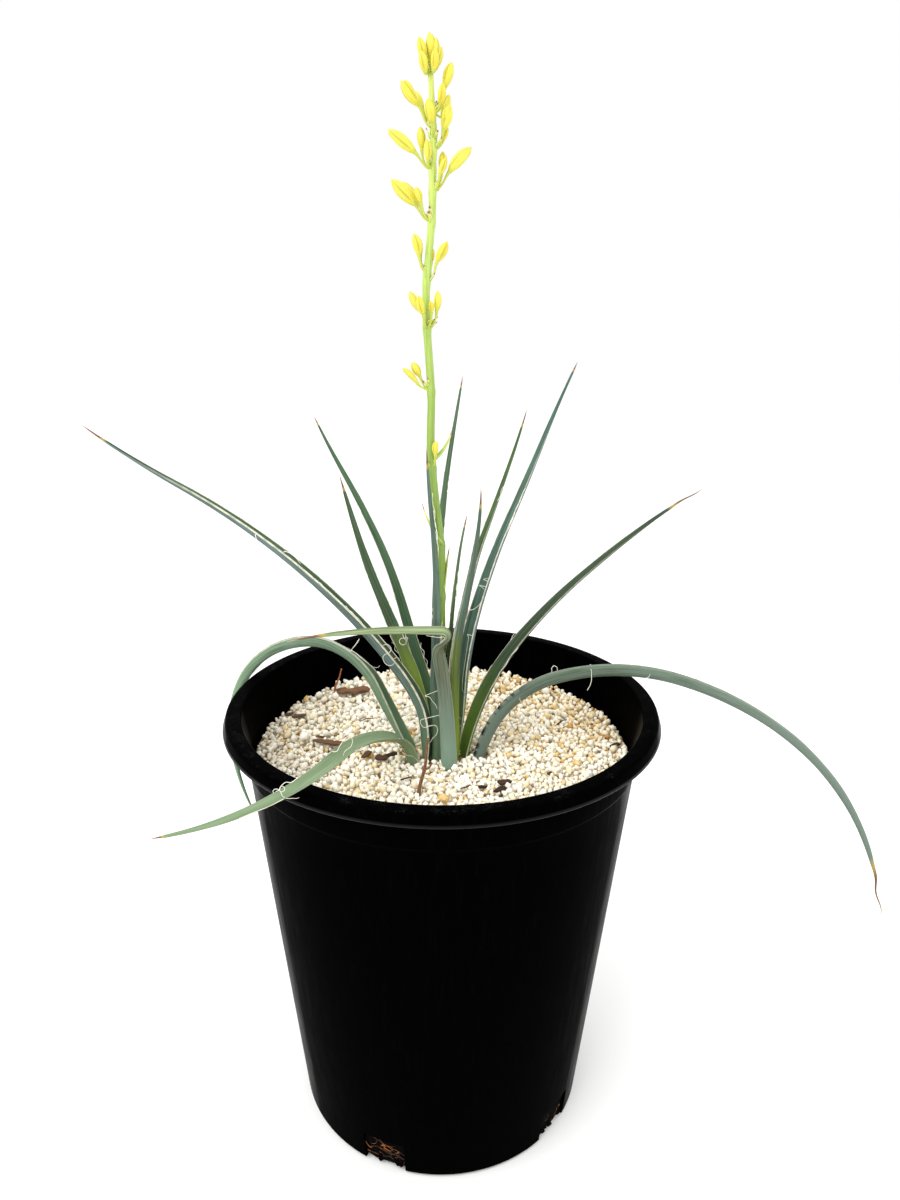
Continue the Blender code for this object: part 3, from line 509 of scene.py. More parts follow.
# the blade: over u from -1 to 1 the inner face is channel * (0.12 + 0.88 u^2), and the back lies
# margin + (thickness - margin) * (1 - u^2)^0.8 below it; a rounded edge joins the two
def buildLeaf(name, shape, seed):
    look = leafLook
    t = np.linspace(0, 1, look["stations"]) ** 1.05
    path, across, inner = leafSpine(shape, t)
    width, thickness, channel = bladeSize(shape, t)
    tipDistance = (1 - t) * shape["length"]
    dryLength = shape.get("dry", look["dry"])
    noise = np.random.RandomState(seed)
    # a dry point shrinks and draws to a needle, and a long one kinks from side to side
    shrink = 1 - 0.45 * (1 - ease(tipDistance, dryLength * 0.35, dryLength * 1.1))
    shrink = shrink * (0.4 + 0.6 * ease(tipDistance, 0, 7))
    loose = 1 - ease(tipDistance, dryLength * 0.2, dryLength)
    path = path + across * (look["kink"] * (dryLength > 30) * loose * np.sin(tipDistance / 5.5))[:, None]
    wave = sum(noise.uniform(0.04, 0.14) * np.sin(t * noise.uniform(8, 60) + noise.uniform(0, 6))
               for _ in range(4))
    half = (width * shrink + wave * np.minimum(1, width / 8)) / 2
    thickness, channel = thickness * (0.3 + 0.7 * shrink), channel * shrink
    u = -np.cos(np.linspace(0, math.pi, look["acrossPoints"]))
    margin = np.minimum(look["margin"], thickness * 0.6)
    rise = channel[:, None] * (0.12 + 0.88 * u * u)
    depth = margin[:, None] + (thickness - margin)[:, None] * (1 - u * u) ** 0.8
    edge = np.stack([half * 1.02, channel - margin / 2], -1)[:, None]
    top = np.stack([half[:, None] * u, rise], -1)
    back = np.stack([half[:, None] * u * 0.97, rise - depth], -1)[:, ::-1]
    sections = np.concatenate([top, edge, back, edge * (-1, 1)], axis=1)
    columns = sections.shape[1]
    shareAcross = np.concatenate([u, [1], u[::-1], [-1]])
    insideFace = np.concatenate([np.ones(len(u)), [0.5], np.zeros(len(u)), [0.5]])
    change = ease(t, *look["colourChange"])[:, None]
    scorched = ease(shape.get("scorch", 0) * shareAcross, look["scorch"], 0.95)

    # a value for each point: rows along the blade times columns around it, then the two end points
    def spread(values):
        rows = np.broadcast_to(values, (len(t), columns))
        return np.concatenate([rows.ravel(), [rows[0, 0], rows[-1, 0]]])

    # linear colour of a face, from its first code to its last one
    def faceColour(codes):
        first, last = [np.array(linear(code)[:3]) for code in (codes.split()[0], codes.split()[-1])]
        return np.stack([spread(a * (1 - change) + b * change) for a, b in zip(first, last)], -1)

    kept = {
        "blade": np.stack([spread(half[:, None] * shareAcross + 20 * insideFace),
                           spread((t * shape["length"])[:, None]), spread(np.full((1, 1), seed * 7.3))], -1),
        "edgeMm": spread(half[:, None] * (1 - np.abs(shareAcross))),
        "edgeShare": spread((shape["edge"] * ease(half, 1.5, 4.5))[:, None]),
        # the dark middle stripe, partly painted shade of the channel's hollow
        "stripeAndShade": spread(shape.get("stripeAndShade", 0) * np.exp(-(shareAcross[None] / look["stripeAndShadeWidth"]) ** 2)),
        "insideFace": spread(insideFace[None]),
        "dry": spread(np.clip(1 - tipDistance / dryLength, 0, 1)[:, None]),
        "low": spread((path[:, 2] - pumiceLevel)[:, None] / shape.get("footScale", 1)),
        "scorched": spread(scorched * (1 - ease(t, 0.14, 0.2))[:, None]),
        **{face: faceColour(shape[face]) for face in ("outer", "inner", "foot")},
    }
    skin = sweep(path * mm, across, inner, sections * mm, kept)
    makePiece(name + "_blade", [skin], waxyLeaf, [name])


# waxy leaf: a living blade under a rubbed bloom of wax, which gives a soft blue-grey face with fine
# darker veins along it
def leafNodes(add):
    own = {label: add("Attribute", attribute_name=label, output="Fac") for label in
           ("edgeMm", "edgeShare", "stripeAndShade", "insideFace", "dry", "low", "scorched")}
    blade, outer, inner, foot = [add("Attribute", attribute_name=label, output="Vector")
                                 for label in ("blade", "outer", "inner", "foot")]
    # veins run along the blade some 0.5 mm apart and fade over about 50 mm, the bloom is rubbed in
    # patches of 10 to 30 mm, and the margin is broken where fibres have come off
    veins, patches, broken = [
        add("TexNoise", Scale=1, Detail=detail, Roughness=rough,
            Vector=add("VectorMath", {0: blade, 1: stretch}, operation="MULTIPLY"))
        for detail, rough, stretch in ((4, 0.65, (2.1, 0.02, 1)), (3, 0.5, (0.25, 0.035, 1)),
                                       (3, 0.5, (0.02, 0.22, 1)))]
    bloom = add("ValToRGB", {0: patches}, ramp=((0.3, "d3d8c4"), (0.5, "f2f2ec"), (0.7, "ffffff")))
    lines = add("ValToRGB", {0: veins}, ramp=((0.36, "8f9688"), (0.5, "dfe2d8"), (0.62, "ffffff")))
    # a dark stripe along the middle of some blades, broken up by the veins: partly a darker midline and
    # partly painted shade in the hollow of the channel
    stripeAndShade = add("MapRange", {0: veins, 1: 0.42, 2: 0.56, 3: 0.3})
    stripeAndShade = add("Math", {0: own["stripeAndShade"], 1: stripeAndShade}, operation="MULTIPLY")
    # the lowest 50 mm are yellow-green, where light didn't reach
    low = add("MapRange", {0: own["low"], 1: 62, 2: 12, 4: 0.85})
    # the papery margin is 0.3 mm wide and fades as the blade narrows
    whole = add("MapRange", {0: broken, 1: 0.4, 2: 0.55, 3: 0.6})
    thin = add("MapRange", {0: own["edgeMm"], 1: 0.34, 2: 0.16})
    margin = add("Math", {0: thin, 1: whole}, operation="MULTIPLY")
    margin = add("Math", {0: margin, 1: own["edgeShare"]}, operation="MULTIPLY")
    # one leaf is scorched black along an edge, in bits of a few mm
    bits = add("MapRange", {0: broken, 1: 0.46, 2: 0.5})
    scorch = add("Math", {0: bits, 1: own["scorched"]}, operation="MULTIPLY")
    dryColour = add("ValToRGB", {0: own["dry"]}, ramp=((0, "a39d52"), (0.15, "b59a4e"), (0.32, "6f4a34"),
                                                       (0.7, "7a5a48"), (1, "d6c6ae")))
    dry = add("MapRange", {0: own["dry"], 1: 0.02, 2: 0.2})
    body = add("Mix", {0: own["insideFace"], 6: outer, 7: inner})
    for share, colour, kind in ((1, bloom, "MULTIPLY"), (0.85, lines, "MULTIPLY"), (stripeAndShade, "545142", "MIX"),
                                (low, foot, "MIX"), (margin, "e6dfc8", "MIX"), (scorch, "1f1d1a", "MIX"),
                                (dry, dryColour, "MIX")):
        body = add("Mix", {0: share, 6: body, 7: colour}, blend_type=kind)
    return {"IOR": 1.42, "Specular IOR Level": 0.25, "Base Color": body,
            "Roughness": add("MapRange", {0: patches, 1: 0.3, 2: 0.7, 3: 0.45, 4: 0.65}),
            "Normal": add("Bump", Strength=0.6, Distance=0.0003, Height=veins)}


waxyLeaf = makeMaterial("waxyLeaf", leafNodes)
for number, (leafName, leafShape) in enumerate(leafShapes.items()):
    buildLeaf(leafName, leafShape, number + 1)
print("leaves built")


# fibres: dry curly threads that peel off the leaf margins, off-white and about 0.3 mm thick, drawn
# 0.4 mm thick so that they show
fibreLook = {"radius": 0.2, "sides": 5, "stations": 40, "hugging": 6, "hugRadius": 0.17,
             "hugLength": (8, 34), "hugWave": (0.3, 1.5)}

# the long curls of each leaf, each the x, y and z of its points in mm, one after another
curls = {
    "leaf_01": (
        (-36.5, -20.7, 353.9, -35.4, -20.4, 354.2, -34.1, -20.4, 353.3, -32.9, -20.6, 351.8, -32.7, -20.9,
         350.6, -33.2, -21.2, 349.6, -34.3, -21.7, 348.5, -35.4, -22.1, 348.2, -37, -22.4, 347.6, -37.9,
         -22.9, 346.6, -38, -23.3, 345.2, -37.4, -23.6, 343.5, -36.3, -23.8, 341.9, -35, -23.8, 340.9,
         -33.4, -23.5, 340.5, -31.9, -23.2, 340.9, -30.8, -22.7, 342, -30.6, -22.4, 343.1),
        (-29.7, -20.8, 345, -29, -20.5, 345.2, -28.1, -20.5, 344.5, -27.5, -20.6, 343.5, -28.1, -21, 342.9),
        (-117.4, -11.4, 423.4, -116.2, -12.5, 419.8, -113.8, -13.3, 416.8, -110.1, -13.3, 415.5),
        (-99.6, -12.6, 413.5, -96, -12.6, 412.2, -92.2, -13.1, 409.1, -89.2, -13.9, 405.4),
        (-79.2, -16.1, 394.3, -77.4, -15.9, 393.9, -74.9, -16.4, 391.1),
    ),
    "leaf_02": (
        (-55.4, 5.3, 348.5, -56.7, 4, 346.1, -58.6, 2.7, 343.7, -61.2, 1.6, 341.3, -59.2, 0.7, 340.2),
        (-66.7, 2.9, 343.6, -63.1, 0.9, 341.6, -59.8, 0.3, 341.1, -56.3, -1.4, 338.9, -52.2, -3.1, 336,
         -46.9, -4.8, 331.8, -42.8, -4.8, 331.1, -41.6, -4.1, 332.6),
    ),
    "leaf_03": (
        (-77.1, -125, 317, -78.7, -127.5, 316.6, -80.3, -129.7, 316.3, -81.5, -130.3, 316.8, -82.7, -130.9,
         317.4, -83.8, -132.1, 317.2, -84.8, -133.6, 316.8, -85.5, -135, 316.1, -85.6, -135.9, 315.3,
         -84.9, -136, 314.6, -84.4, -136.7, 313.5, -83.8, -137.2, 312.5, -82.8, -137.2, 311.6, -81.4,
         -136.7, 310.8, -79, -135.3, 310.1, -76.7, -134, 309.3, -75.7, -132.9, 309.2),
        (-85.5, -135.9, 315.3, -86.5, -136, 316.1, -87.4, -136.5, 316.4, -88.3, -137.3, 316.3, -88.6, -138,
         315.8, -88.1, -138.6, 315),
        (-84.6, -134, 316.9, -83.3, -133.7, 315.8, -82.9, -134.2, 315.3, -83.1, -134.8, 314.6, -83.7,
         -135.7, 314.4, -84.6, -136.3, 314.7),
        (-59.8, -94.9, 316.5, -58.4, -87.1, 317.5, -56.2, -79.8, 318.3, -53.8, -75.7, 317, -52.5, -77.3,
         314.4, -53.1, -82.5, 313.2, -55.9, -89.3, 314.2, -56.6, -93.9, 313.4),
        (-29.9, -42, 297.1, -28.3, -37.8, 289.9, -26, -33, 283.8, -22.3, -30.4, 279.5, -19, -29.6, 279.1,
         -15.8, -28.8, 275),
    ),
    "leaf_05": (
        (-26.9, 5.6, 351.3, -26.4, 5.2, 350, -25.5, 4.6, 348.4, -26.7, 4.7, 348.9, -28.1, 4.5, 348.5,
         -28.9, 4, 347.4, -29, 3.6, 346.3, -28, 3.2, 345.1, -26.6, 3.1, 344.5, -25.2, 3.3, 344.7, -24.5,
         3.7, 345.8, -24.1, 4.2, 347.1, -23.1, 4.9, 348.8, -23.9, 5.1, 349.3, -24.8, 4.8, 348.8, -25.5,
         4.3, 347.6),
    ),
    "leaf_08": (
        (17.8, 11.7, 366.4, 20.2, 11.7, 366.7, 22.6, 12.1, 368.2, 24.7, 12.7, 370.2, 25.9, 13.4, 372.1,
         27.3, 14.6, 375.6, 28.3, 16, 379.2, 30.3, 17.3, 382.6, 31.5, 18.7, 386.2),
        (24, 17.2, 382.2, 26.1, 16.8, 381.1, 27.9, 16.1, 379.5),
        (27, 18.6, 385.8, 29.1, 18.8, 386.5, 31.2, 18.8, 386.5),
        (27.3, 14.2, 374.4, 28.5, 13.5, 372.5, 28, 12.8, 370.5, 26.2, 12.4, 369.4),
        (15.8, 7.4, 351.1, 17.6, 6.8, 349.4, 15.7, 4.3, 336.3, 13.8, 2.3, 322.6, 13.2, 1.3, 312.7, 15.3,
         0.8, 310, 17.3, 1, 310.7),
        (7.2, -0.2, 292.5, 9.9, 0, 294.7, 12.7, -0.7, 292, 13.4, -1.3, 288.5, 11.4, -1.7, 285.7),
    ),
    "leaf_13": (
        (72.2, -10.9, 331.4, 71.9, -9.7, 333.8, 73.5, -9.2, 335.3, 75.5, -9.7, 334.5, 75.8, -10.7, 332.1,
         74.1, -11.4, 330.6),
        (97, -10.1, 336.9, 98, -12.3, 332.1, 97.9, -14.6, 326.7, 96.9, -15.9, 323.8, 94.9, -17.4, 320.8,
         96.2, -16.2, 323.2),
        (133.8, -8, 334.1, 136.5, -8.1, 332.8, 137.6, -8.9, 330.2, 136.5, -10, 327.8, 133.1, -10.7, 326.7),
        (50.7, -13.8, 316.8, 51.3, -15.2, 313.1, 52.6, -16.3, 310.7),
    ),
    "leaf_04": (
        (-14.2, -32, 306.4, -13.6, -32, 302.8, -11.6, -31.8, 300.6, -8.4, -31.8, 302, -4.5, -31.6, 302.7,
         -2.6, -31.6, 300.5, -3.2, -31.6, 296.2, -5.8, -31.5, 293.3, -7.8, -31.5, 289.7),
        (-11.5, -32.1, 323.3, -7.7, -31.9, 322.6, -6.4, -31.7, 319.7, -3.9, -31.7, 316.9, -3.2, -31.6, 314),
    ),
}


# the two margins in mm: path -+ across * width / 2 + inner * channel
def bladeEdges(shape, t):
    path, across, inner = leafSpine(shape, t)
    width, _, channel = bladeSize(shape, t)
    lift = path + inner * channel[:, None]
    return [(lift + side * across * width[:, None] / 2, side * across, inner) for side in (-1, 1)]


# a curl starts at the nearest point of its leaf's margins and runs through its own points; a short
# thread follows the margin at a distance of 0.2 + wave * sin^2
def buildFibres():
    noise = np.random.RandomState(5)
    look = fibreLook
    skins = []
    for name, rows in curls.items():
        edges = np.vstack([edge for edge, _, _ in bladeEdges(leafShapes[name], np.linspace(0, 1, 400))])
        for row in rows:
            points = np.reshape(row, (-1, 3))
            start = edges[np.argmin(np.linalg.norm(edges - points[0], axis=1))]
            line = smoothPath([start, *points], max(look["stations"], 5 * len(points)), 1)
            radii = look["radius"] * (1 - 0.4 * np.linspace(0, 1, len(line)) ** 3)
            skins.append(tube(line * mm, radii * mm, look["sides"]))
    for shape in leafShapes.values():
        for _ in range(look["hugging"] if shape["edge"] > 0.2 else 2):
            first = noise.uniform(0.2, 0.8)
            length, wave = noise.uniform(*look["hugLength"]), noise.uniform(*look["hugWave"])
            s = np.linspace(0, 1, look["stations"])
            t = first + s * min(length / shape["length"], 0.95 - first)
            edge, out, inner = bladeEdges(shape, t)[noise.randint(2)]
            away = 0.2 + wave * np.sin(s * noise.uniform(2, 9)) ** 2
            line = edge + out * away[:, None] + inner * (away * noise.uniform(-0.6, 0.6))[:, None]
            if line[:, 2].min() > pumiceLevel + 6:
                skins.append(tube(line * mm, np.full(len(s), look["hugRadius"]) * mm, 4))
    dryFibre = makeMottled("dryLeafFibre", ((0.3, "c9c1ac"), (0.5, "e9e4d6"), (0.7, "f6f3ea")),
                           {"Roughness": 0.75, "Specular IOR Level": 0.3}, Scale=220, Detail=2)
    makePiece("margin_fibres", skins, dryFibre)


buildFibres()
print("fibres built")


# the flower stalk: a juicy round stem, mid green below and yellow-green above, faintly ribbed
stalkPoints = (
    (0, -13.5, 250, 3.4), (-0.8, -12.6, 300, 3.3), (-1.2, -11, 347, 3.2), (-1.4, -10, 392, 3.0),
    (-1, -9.7, 412, 3.0), (-2.4, -9.4, 424, 2.9), (-5, -9, 446, 2.8), (-7.3, -8.5, 470, 2.6),
    (-7.7, -8.1, 486, 2.5), (-6.8, -7.7, 507, 2.4), (-8.3, -7.3, 530, 2.3), (-9.8, -6.9, 548, 2.3),
    (-10.3, -6.5, 569, 2.2), (-8.2, -6, 590, 2.1), (-6.1, -5.6, 611, 2.1), (-6.3, -5.1, 635, 2.0),
    (-5.4, -4.8, 650, 1.8), (-6.8, -4.3, 672, 1.5), (-7.3, -4.2, 681, 1.3),
)
# height, heading, length, outward lean at the foot, width, bend, and how far round the stem from the
# heading the foot sits, of the leafy bracts: mm and degrees
stalkBracts = ((384, 20, 31, 6, 4.5, 0, 0), (418, 192, 29, 34, 5.0, -22, 90),
               (470, 15, 21.5, 50, 4.5, -42, 0))
# base and tip as offsets in mm from the stalk at the cluster's height, and width, a bud each
budClusters = {
    "bud_cluster_01": (680, (((0, -0.5, 7), (-0.5, -0.5, 19.7), 5.5), ((-3, -1.5, 5), (-6, -3, 17), 5),
        ((2, -1, 5), (3, -2, 17), 4.5), ((-2.5, -3.5, -1), (-5, -6, 10), 5), ((1.5, -4, 0), (2.5, -6, 11),
        4.5), ((-1, 3, 4), (-2.5, 5.5, 16), 5), ((3, 2.5, 3), (6, 4, 14), 4.5))),
    "bud_cluster_02": (661, (((6.5, 1, 12), (10.5, 2, 25), 5.5), ((4, -2.5, 3), (5.5, -4, 14), 4.5), ((5,
        6, -1), (9, 10, 11), 5))),
    "bud_cluster_03": (654, (((-7.5, -1, 10), (-17.5, -3, 22), 6), ((-6, 4, 9), (-11, 7, 19), 4.5), ((-3.5,
        4.5, 4), (-4.5, 7, 12), 3.5))),
    "bud_cluster_04": (649, (((-1, -5.5, 6), (-3, -9, 17.5), 6),)),
    "bud_cluster_05": (643, (((5.5, -1, 9), (9, -2.5, 22), 6), ((5, 2.5, 4), (8, 4, 12), 3.5))),
    "bud_cluster_06": (633, (((-9, -2, 7.5), (-24, -4, 19), 6.5), ((-6, 3.5, 10), (-7, 5.5, 22), 5),
        ((-2.5, -4.5, 3), (-3, -6.5, 14), 4.5))),
    "bud_cluster_07": (622, (((9, -1, 9), (21.5, -3, 21.5), 6.5), ((5, 3.5, 9), (5.5, 5, 20.5), 5), ((4,
        -3.5, 7), (7.5, -5.5, 16), 4))),
    "bud_cluster_08": (606, (((-9, -1.5, 8), (-22.5, -4, 21), 7), ((-7, 3.5, 9), (-17, 6, 21), 5.5), ((-6,
        -4, 9), (-9, -5.5, 17), 4))),
    "bud_cluster_09": (579, (((-4.5, -2.5, 8), (-7.5, -4, 20), 5.5), ((-4, 2.5, 8), (-6, 5, 19.5), 4.5))),
    "bud_cluster_10": (574, (((6, -1, 10), (12, -2, 21), 5.5), ((2.5, 4.5, 9), (3.5, 5.5, 18), 3.5))),
    "bud_cluster_11": (548, (((-1.5, -5, 8), (-9.5, -8, 20), 5), ((3, -5, 8), (2.5, -7, 15), 3.5), ((6, -2,
        9), (6.5, -3, 20.5), 4.5), ((-1.5, -8.5, 7), (-4, -11.5, 18), 4.5))),
    "bud_cluster_12": (512.5, (((-6.5, -1.5, 7.7), (-11.3, -2.5, 15.9), 5), ((-7.5, -4.5, 3.5), (-16.7, -6,
        12.9), 3.5))),
    "bud_cluster_13": (466.5, (((2.5, -4, 7), (2.8, -5.5, 16.5), 4),)),
}
stalkLook = {"sides": 22, "stations": 420, "swelling": 0.16, "swellingHeight": 3.2}
bractLook = {"stations": 18, "acrossPoints": 7, "sheath": 0.35, "small": ((3, 6.5), (10, 40), (1.6, 2.6)),
             "smallBend": 10, "dried": 0.4,  # small: length, lean and width
             "foot": 2.6, "smallFoot": (1.6, 3.2), "smallTurn": 70, "thickness": 0.28}
budLook = {"stations": 22, "around": 32, "grooveDepth": 0.18, "grooveWidth": 0.17, "fineFoldShadeLines": 0.25,
           "pedicel": 0.75, "foot": 1.0, "opening": 5.8, "pedicelStations": 12, "pedicelSides": 9,
           "tepalFrom": 0.35, "tepalAside": 0.16, "tepalShort": 0.8, "tepalStandsOff": 1.7,
           "tepalWidth": 0.5}


# the stalk's centre in mm at a height, read between the listed points
def stalkCentre(height):
    table = np.array(stalkPoints)
    return np.array([np.interp(height, table[:, 2], table[:, axis]) for axis in (0, 1, 2)])


# the stem: its green turns to yellow-green with the height, and ribs run along it
def stemNodes(add):
    place = add("TexCoord", output="Object")
    level = add("MapRange", {0: add("SeparateXYZ", {0: place}, "Z"), 1: 0.28, 2: 0.69})
    colour = add("ValToRGB", {0: level}, ramp=((0, "78964a"), (0.25, "7f9c46"), (0.5, "8ba64c"),
                                               (0.75, "b4ca66"), (1, "ced870")))
    # ribs 0.8 mm apart that run for about 30 mm
    ribs = add("TexNoise", Scale=1, Detail=3, Vector=add("Mapping", Scale=(1200, 1200, 30), Vector=place))
    shade = add("ValToRGB", {0: ribs}, ramp=((0.3, "c2d0b0"), (0.55, "ffffff")))
    ribbed = add("Mix", {0: 0.7, 6: colour, 7: shade}, blend_type="MULTIPLY")
    return {"IOR": 1.42, "Roughness": 0.42, "Base Color": ribbed,
            "Normal": add("Bump", Strength=0.25, Distance=0.0002, Height=ribs)}


# papery bracts: thin skin, lime green while it lives, with a pale dry edge and a brown point
def bractNodes(add):
    share, edge = [add("Attribute", attribute_name=label, output="Fac") for label in ("share", "edge")]
    tone = add("TexNoise", Scale=420, Detail=3, Vector=add("TexCoord", output="Object"))
    colour = add("ValToRGB", {0: share}, ramp=((0, "9fbd4c"), (0.6, "b4c85c"), (0.82, "d9cf8c"),
                                               (0.9, "8a5a3c"), (1, "5e4038")))
    brown = add("Math", {0: edge, 1: tone}, operation="MULTIPLY")
    brown = add("MapRange", {0: brown, 1: 0.3, 2: 0.6, 4: 0.8})
    return {"Roughness": 0.6, "Specular IOR Level": 0.3,
            "Base Color": add("Mix", {0: brown, 6: colour, 7: "e6dfb4"})}


# buds: waxy tepals folded into a spindle, bright yellow on the ridges, with painted shade of a darker
# gold in the grooves and fine folds, and faint blotches of 2 mm, a little greener
def budNodes(add):
    groove, share, ripe = [add("Attribute", attribute_name=label, output="Fac")
                           for label in ("groove", "share", "ripe")]
    blotches = add("TexNoise", Scale=450, Detail=1, Vector=add("TexCoord", output="Object"))
    blotches = add("MapRange", {0: blotches, 1: 0.5, 2: 0.75, 4: 0.25})
    colour = add("ValToRGB", {0: share}, ramp=((0, "b9c250"), (0.2, "d9d450"), (0.7, "dcd656"),
                                               (1, "cdc248")))
    # painted shade: the grooves and fine folds of the tepals are darkened to a deeper gold
    for part, paint in ((ripe, "d8c232"), (groove, "a89a22"), (blotches, "b9b83c")):
        colour = add("Mix", {0: part, 6: colour, 7: paint})
    return {"Roughness": 0.45, "IOR": 1.4, "Base Color": colour}


freshStem, paperyBract, yellowTepal = [makeMaterial(*row) for row in (
    ("freshStem", stemNodes), ("paperyBract", bractNodes), ("yellowTepal", budNodes))]


# the stem's radius is the listed one times 1 + swelling * exp(-(distance to a cluster / height)^2)
def buildStalk():
    look = stalkLook
    path = smoothPath(stalkPoints, look["stations"])
    heights = np.array([height for height, _ in budClusters.values()] + [row[0] for row in stalkBracts])
    nearness = np.exp(-((path[:, 2:3] + 1 - heights[None]) / look["swellingHeight"]) ** 2).max(1)
    radii = path[:, 3] * (1 + look["swelling"] * nearness)
    skin = tube(path[:, :3] * mm, radii * mm, look["sides"], 0.025, 5)
    makePiece("flower_stem", [skin], freshStem, ["flower_stalk"])


# a papery blade: the path starts at the foot and leans outward by an angle that grows with bend * s;
# the section is a thin crescent, half width = width / 2 * (1 - s)^0.75 * (1 + 0.6 s)
def bractSkin(foot, heading, length, lean, width, bend, dried=0.0):
    look = bractLook
    s = np.linspace(0, 1, look["stations"])
    angle = np.radians(lean + bend * s)
    out = outward(heading)
    along = np.sin(angle)[:, None] * out + np.cos(angle)[:, None] * np.array([0, 0, 1])
    path = np.array(foot) + np.vstack([np.zeros(3), np.cumsum(along[:-1] * length / (len(s) - 1), axis=0)])
    across, inner = carriedFrames(along, -out)
    half = width / 2 * (1 - s) ** 0.75 * (1 + 0.6 * s) + 0.18
    u = np.linspace(-1, 1, look["acrossPoints"])
    cup = half[:, None] * look["sheath"] * 2 * (u * u) * (1 - 0.5 * s[:, None])
    top = np.stack([half[:, None] * u, cup], -1)
    back = np.stack([half[:, None] * u, cup - look["thickness"] * (1.1 - u * u) ** 0.5], -1)[:, ::-1]
    skin = sweep(path * mm, across, inner, np.concatenate([top, back], axis=1) * mm)
    share = dried + (1 - dried) * np.concatenate([np.repeat(s, 2 * len(u)), [0, 1]])
    edge = np.tile(np.concatenate([np.abs(u), np.abs(u)]) ** 2, len(s))
    return tagged(skin, share=share, edge=np.concatenate([edge, [0, 1]]))


# three leafy bracts at the nodes, and small ones around the side that each cluster's buds lean to
def buildBracts():
    look = bractLook
    skins = []
    for height, heading, length, lean, width, bend, aside in stalkBracts:
        foot = stalkCentre(height) + outward(heading + aside) * look["foot"]
        skins.append(bractSkin(foot, heading, length, lean, width, bend))
    noise = np.random.RandomState(21)
    for height, rows in budClusters.values():
        lean = np.sum([base[:2] for base, _, _ in rows], axis=0)
        heading = math.degrees(math.atan2(lean[1], lean[0]))
        for _ in range(1 + len(rows)):  # the small ones are half dried
            turn = heading + noise.uniform(-look["smallTurn"], look["smallTurn"])
            foot = stalkCentre(height + noise.uniform(-1, 3))
            foot = foot + outward(turn) * noise.uniform(*look["smallFoot"])
            sizes = [noise.uniform(*limits) for limits in look["small"]]
            skins.append(bractSkin(foot, turn, *sizes, look["smallBend"], look["dried"]))
    makePiece("papery_bracts", skins, paperyBract)


# a bud: radius = width / 2 * (s + 0.04)^0.62 * (1 - s^2.2)^0.8 / 0.565 from base to tip, cut in by a
# groove of a bell shape at each of three tepal edges; its axis bows by a sine
def budSkin(base, tip, width, noise, ripe):
    look = budLook
    s = np.linspace(0.0, 1.0, look["stations"])
    angle = around(look["around"])
    axis = tip - base
    bow = np.cross(axis / np.linalg.norm(axis), noise.normal(size=3))
    bow = bow / np.linalg.norm(bow) * noise.uniform(0.2, 0.7)
    path = base + axis * s[:, None] + bow * np.sin(math.pi * s)[:, None]
    profile = np.maximum((s + 0.04) ** 0.62 * (1 - s ** 2.2) ** 0.8 / 0.565, 0.06)
    seam = (angle * 3 + noise.uniform(0, 6) + math.pi) % (2 * math.pi) - math.pi
    groove = np.exp(-(seam / (3 * look["grooveWidth"])) ** 2)
    fineFoldShade = look["fineFoldShadeLines"] * np.maximum(0, np.cos(angle * 8 + seam[0])) ** 3
    step = 0.07 * seam / math.pi
    fade = (ease(s, 0.05, 0.35) * (1 - 0.3 * ease(s, 0.9, 1)))[:, None]
    radius = width / 2 * profile[:, None] * (1 - fade * (look["grooveDepth"] * groove + step)[None])
    across, inner = carriedFrames(directions(path), bow)
    skin = sweep(path * mm, across, inner, roundSections(radius, angle) * mm)
    # painted shade: how much the grooves and the fine fold lines are darkened in colour
    grooveShare = (np.maximum(groove, fineFoldShade)[None] * fade * 0.85).ravel()
    return tagged(skin, share=np.concatenate([np.repeat(s, len(angle)), [0, 1]]),
                  groove=np.concatenate([grooveShare, [0, 0]]), ripe=ripe)


# a pedicel: a cubic from the stem to the bud that leaves the stem outward, point =
# a (1-s)^3 + 3 b s (1-s)^2 + 3 c s^2 (1-s) + d s^3
def pedicelSkin(start, out, base, bud):
    s = np.linspace(0, 1, budLook["pedicelStations"])[:, None]
    reach = np.linalg.norm(base - start)
    second, third = start + out * reach * 0.4, base - bud * reach * 0.35
    path = start * (1 - s) ** 3 + 3 * second * s * (1 - s) ** 2 + 3 * third * s ** 2 * (1 - s) + base * s ** 3
    radii = budLook["pedicel"] * (1.25 - 0.5 * np.sin(math.pi * s[:, 0]) + 0.35 * s[:, 0] ** 3)
    return tagged(tube(path * mm, radii * mm, budLook["pedicelSides"]), share=0.02, groove=0.0, ripe=0.0)


# each bud of a cluster on its pedicel, which starts in the stem and leaves it toward the bud
def buildBuds():
    look = budLook
    for number, (name, (height, rows)) in enumerate(budClusters.items()):
        noise = np.random.RandomState(100 + number)
        centre = stalkCentre(height)
        skins = []
        for base, tip, width in rows:
            base, tip = centre + np.array(base), centre + np.array(tip)
            bud = (tip - base) / np.linalg.norm(tip - base)
            out = (base - centre) * (1, 1, 0.15)
            out = out / max(np.linalg.norm(out), 1e-6)
            start = centre + out * look["foot"]
            if name == "bud_cluster_01":
                start = centre + np.array([0, 0, 0.5])
            skins.append(pedicelSkin(start, out, base + bud, bud))
            ripe = noise.uniform(0, 0.6)
            skins.append(budSkin(base, tip, width, noise, ripe))
            if width > look["opening"]:
                # a large bud is about to open: one tepal stands a little off its tip
                lean = np.cross(bud, noise.normal(size=3))
                lean = lean / np.linalg.norm(lean)
                foot = base + (tip - base) * look["tepalFrom"] + lean * width * look["tepalAside"]
                point = tip - bud * look["tepalShort"] + lean * look["tepalStandsOff"]
                skins.append(budSkin(foot, point, width * look["tepalWidth"], noise, ripe))
        makePiece(name + "_buds", skins, yellowTepal, [name])


buildStalk()
buildBracts()
buildBuds()
print("flower stalk built")


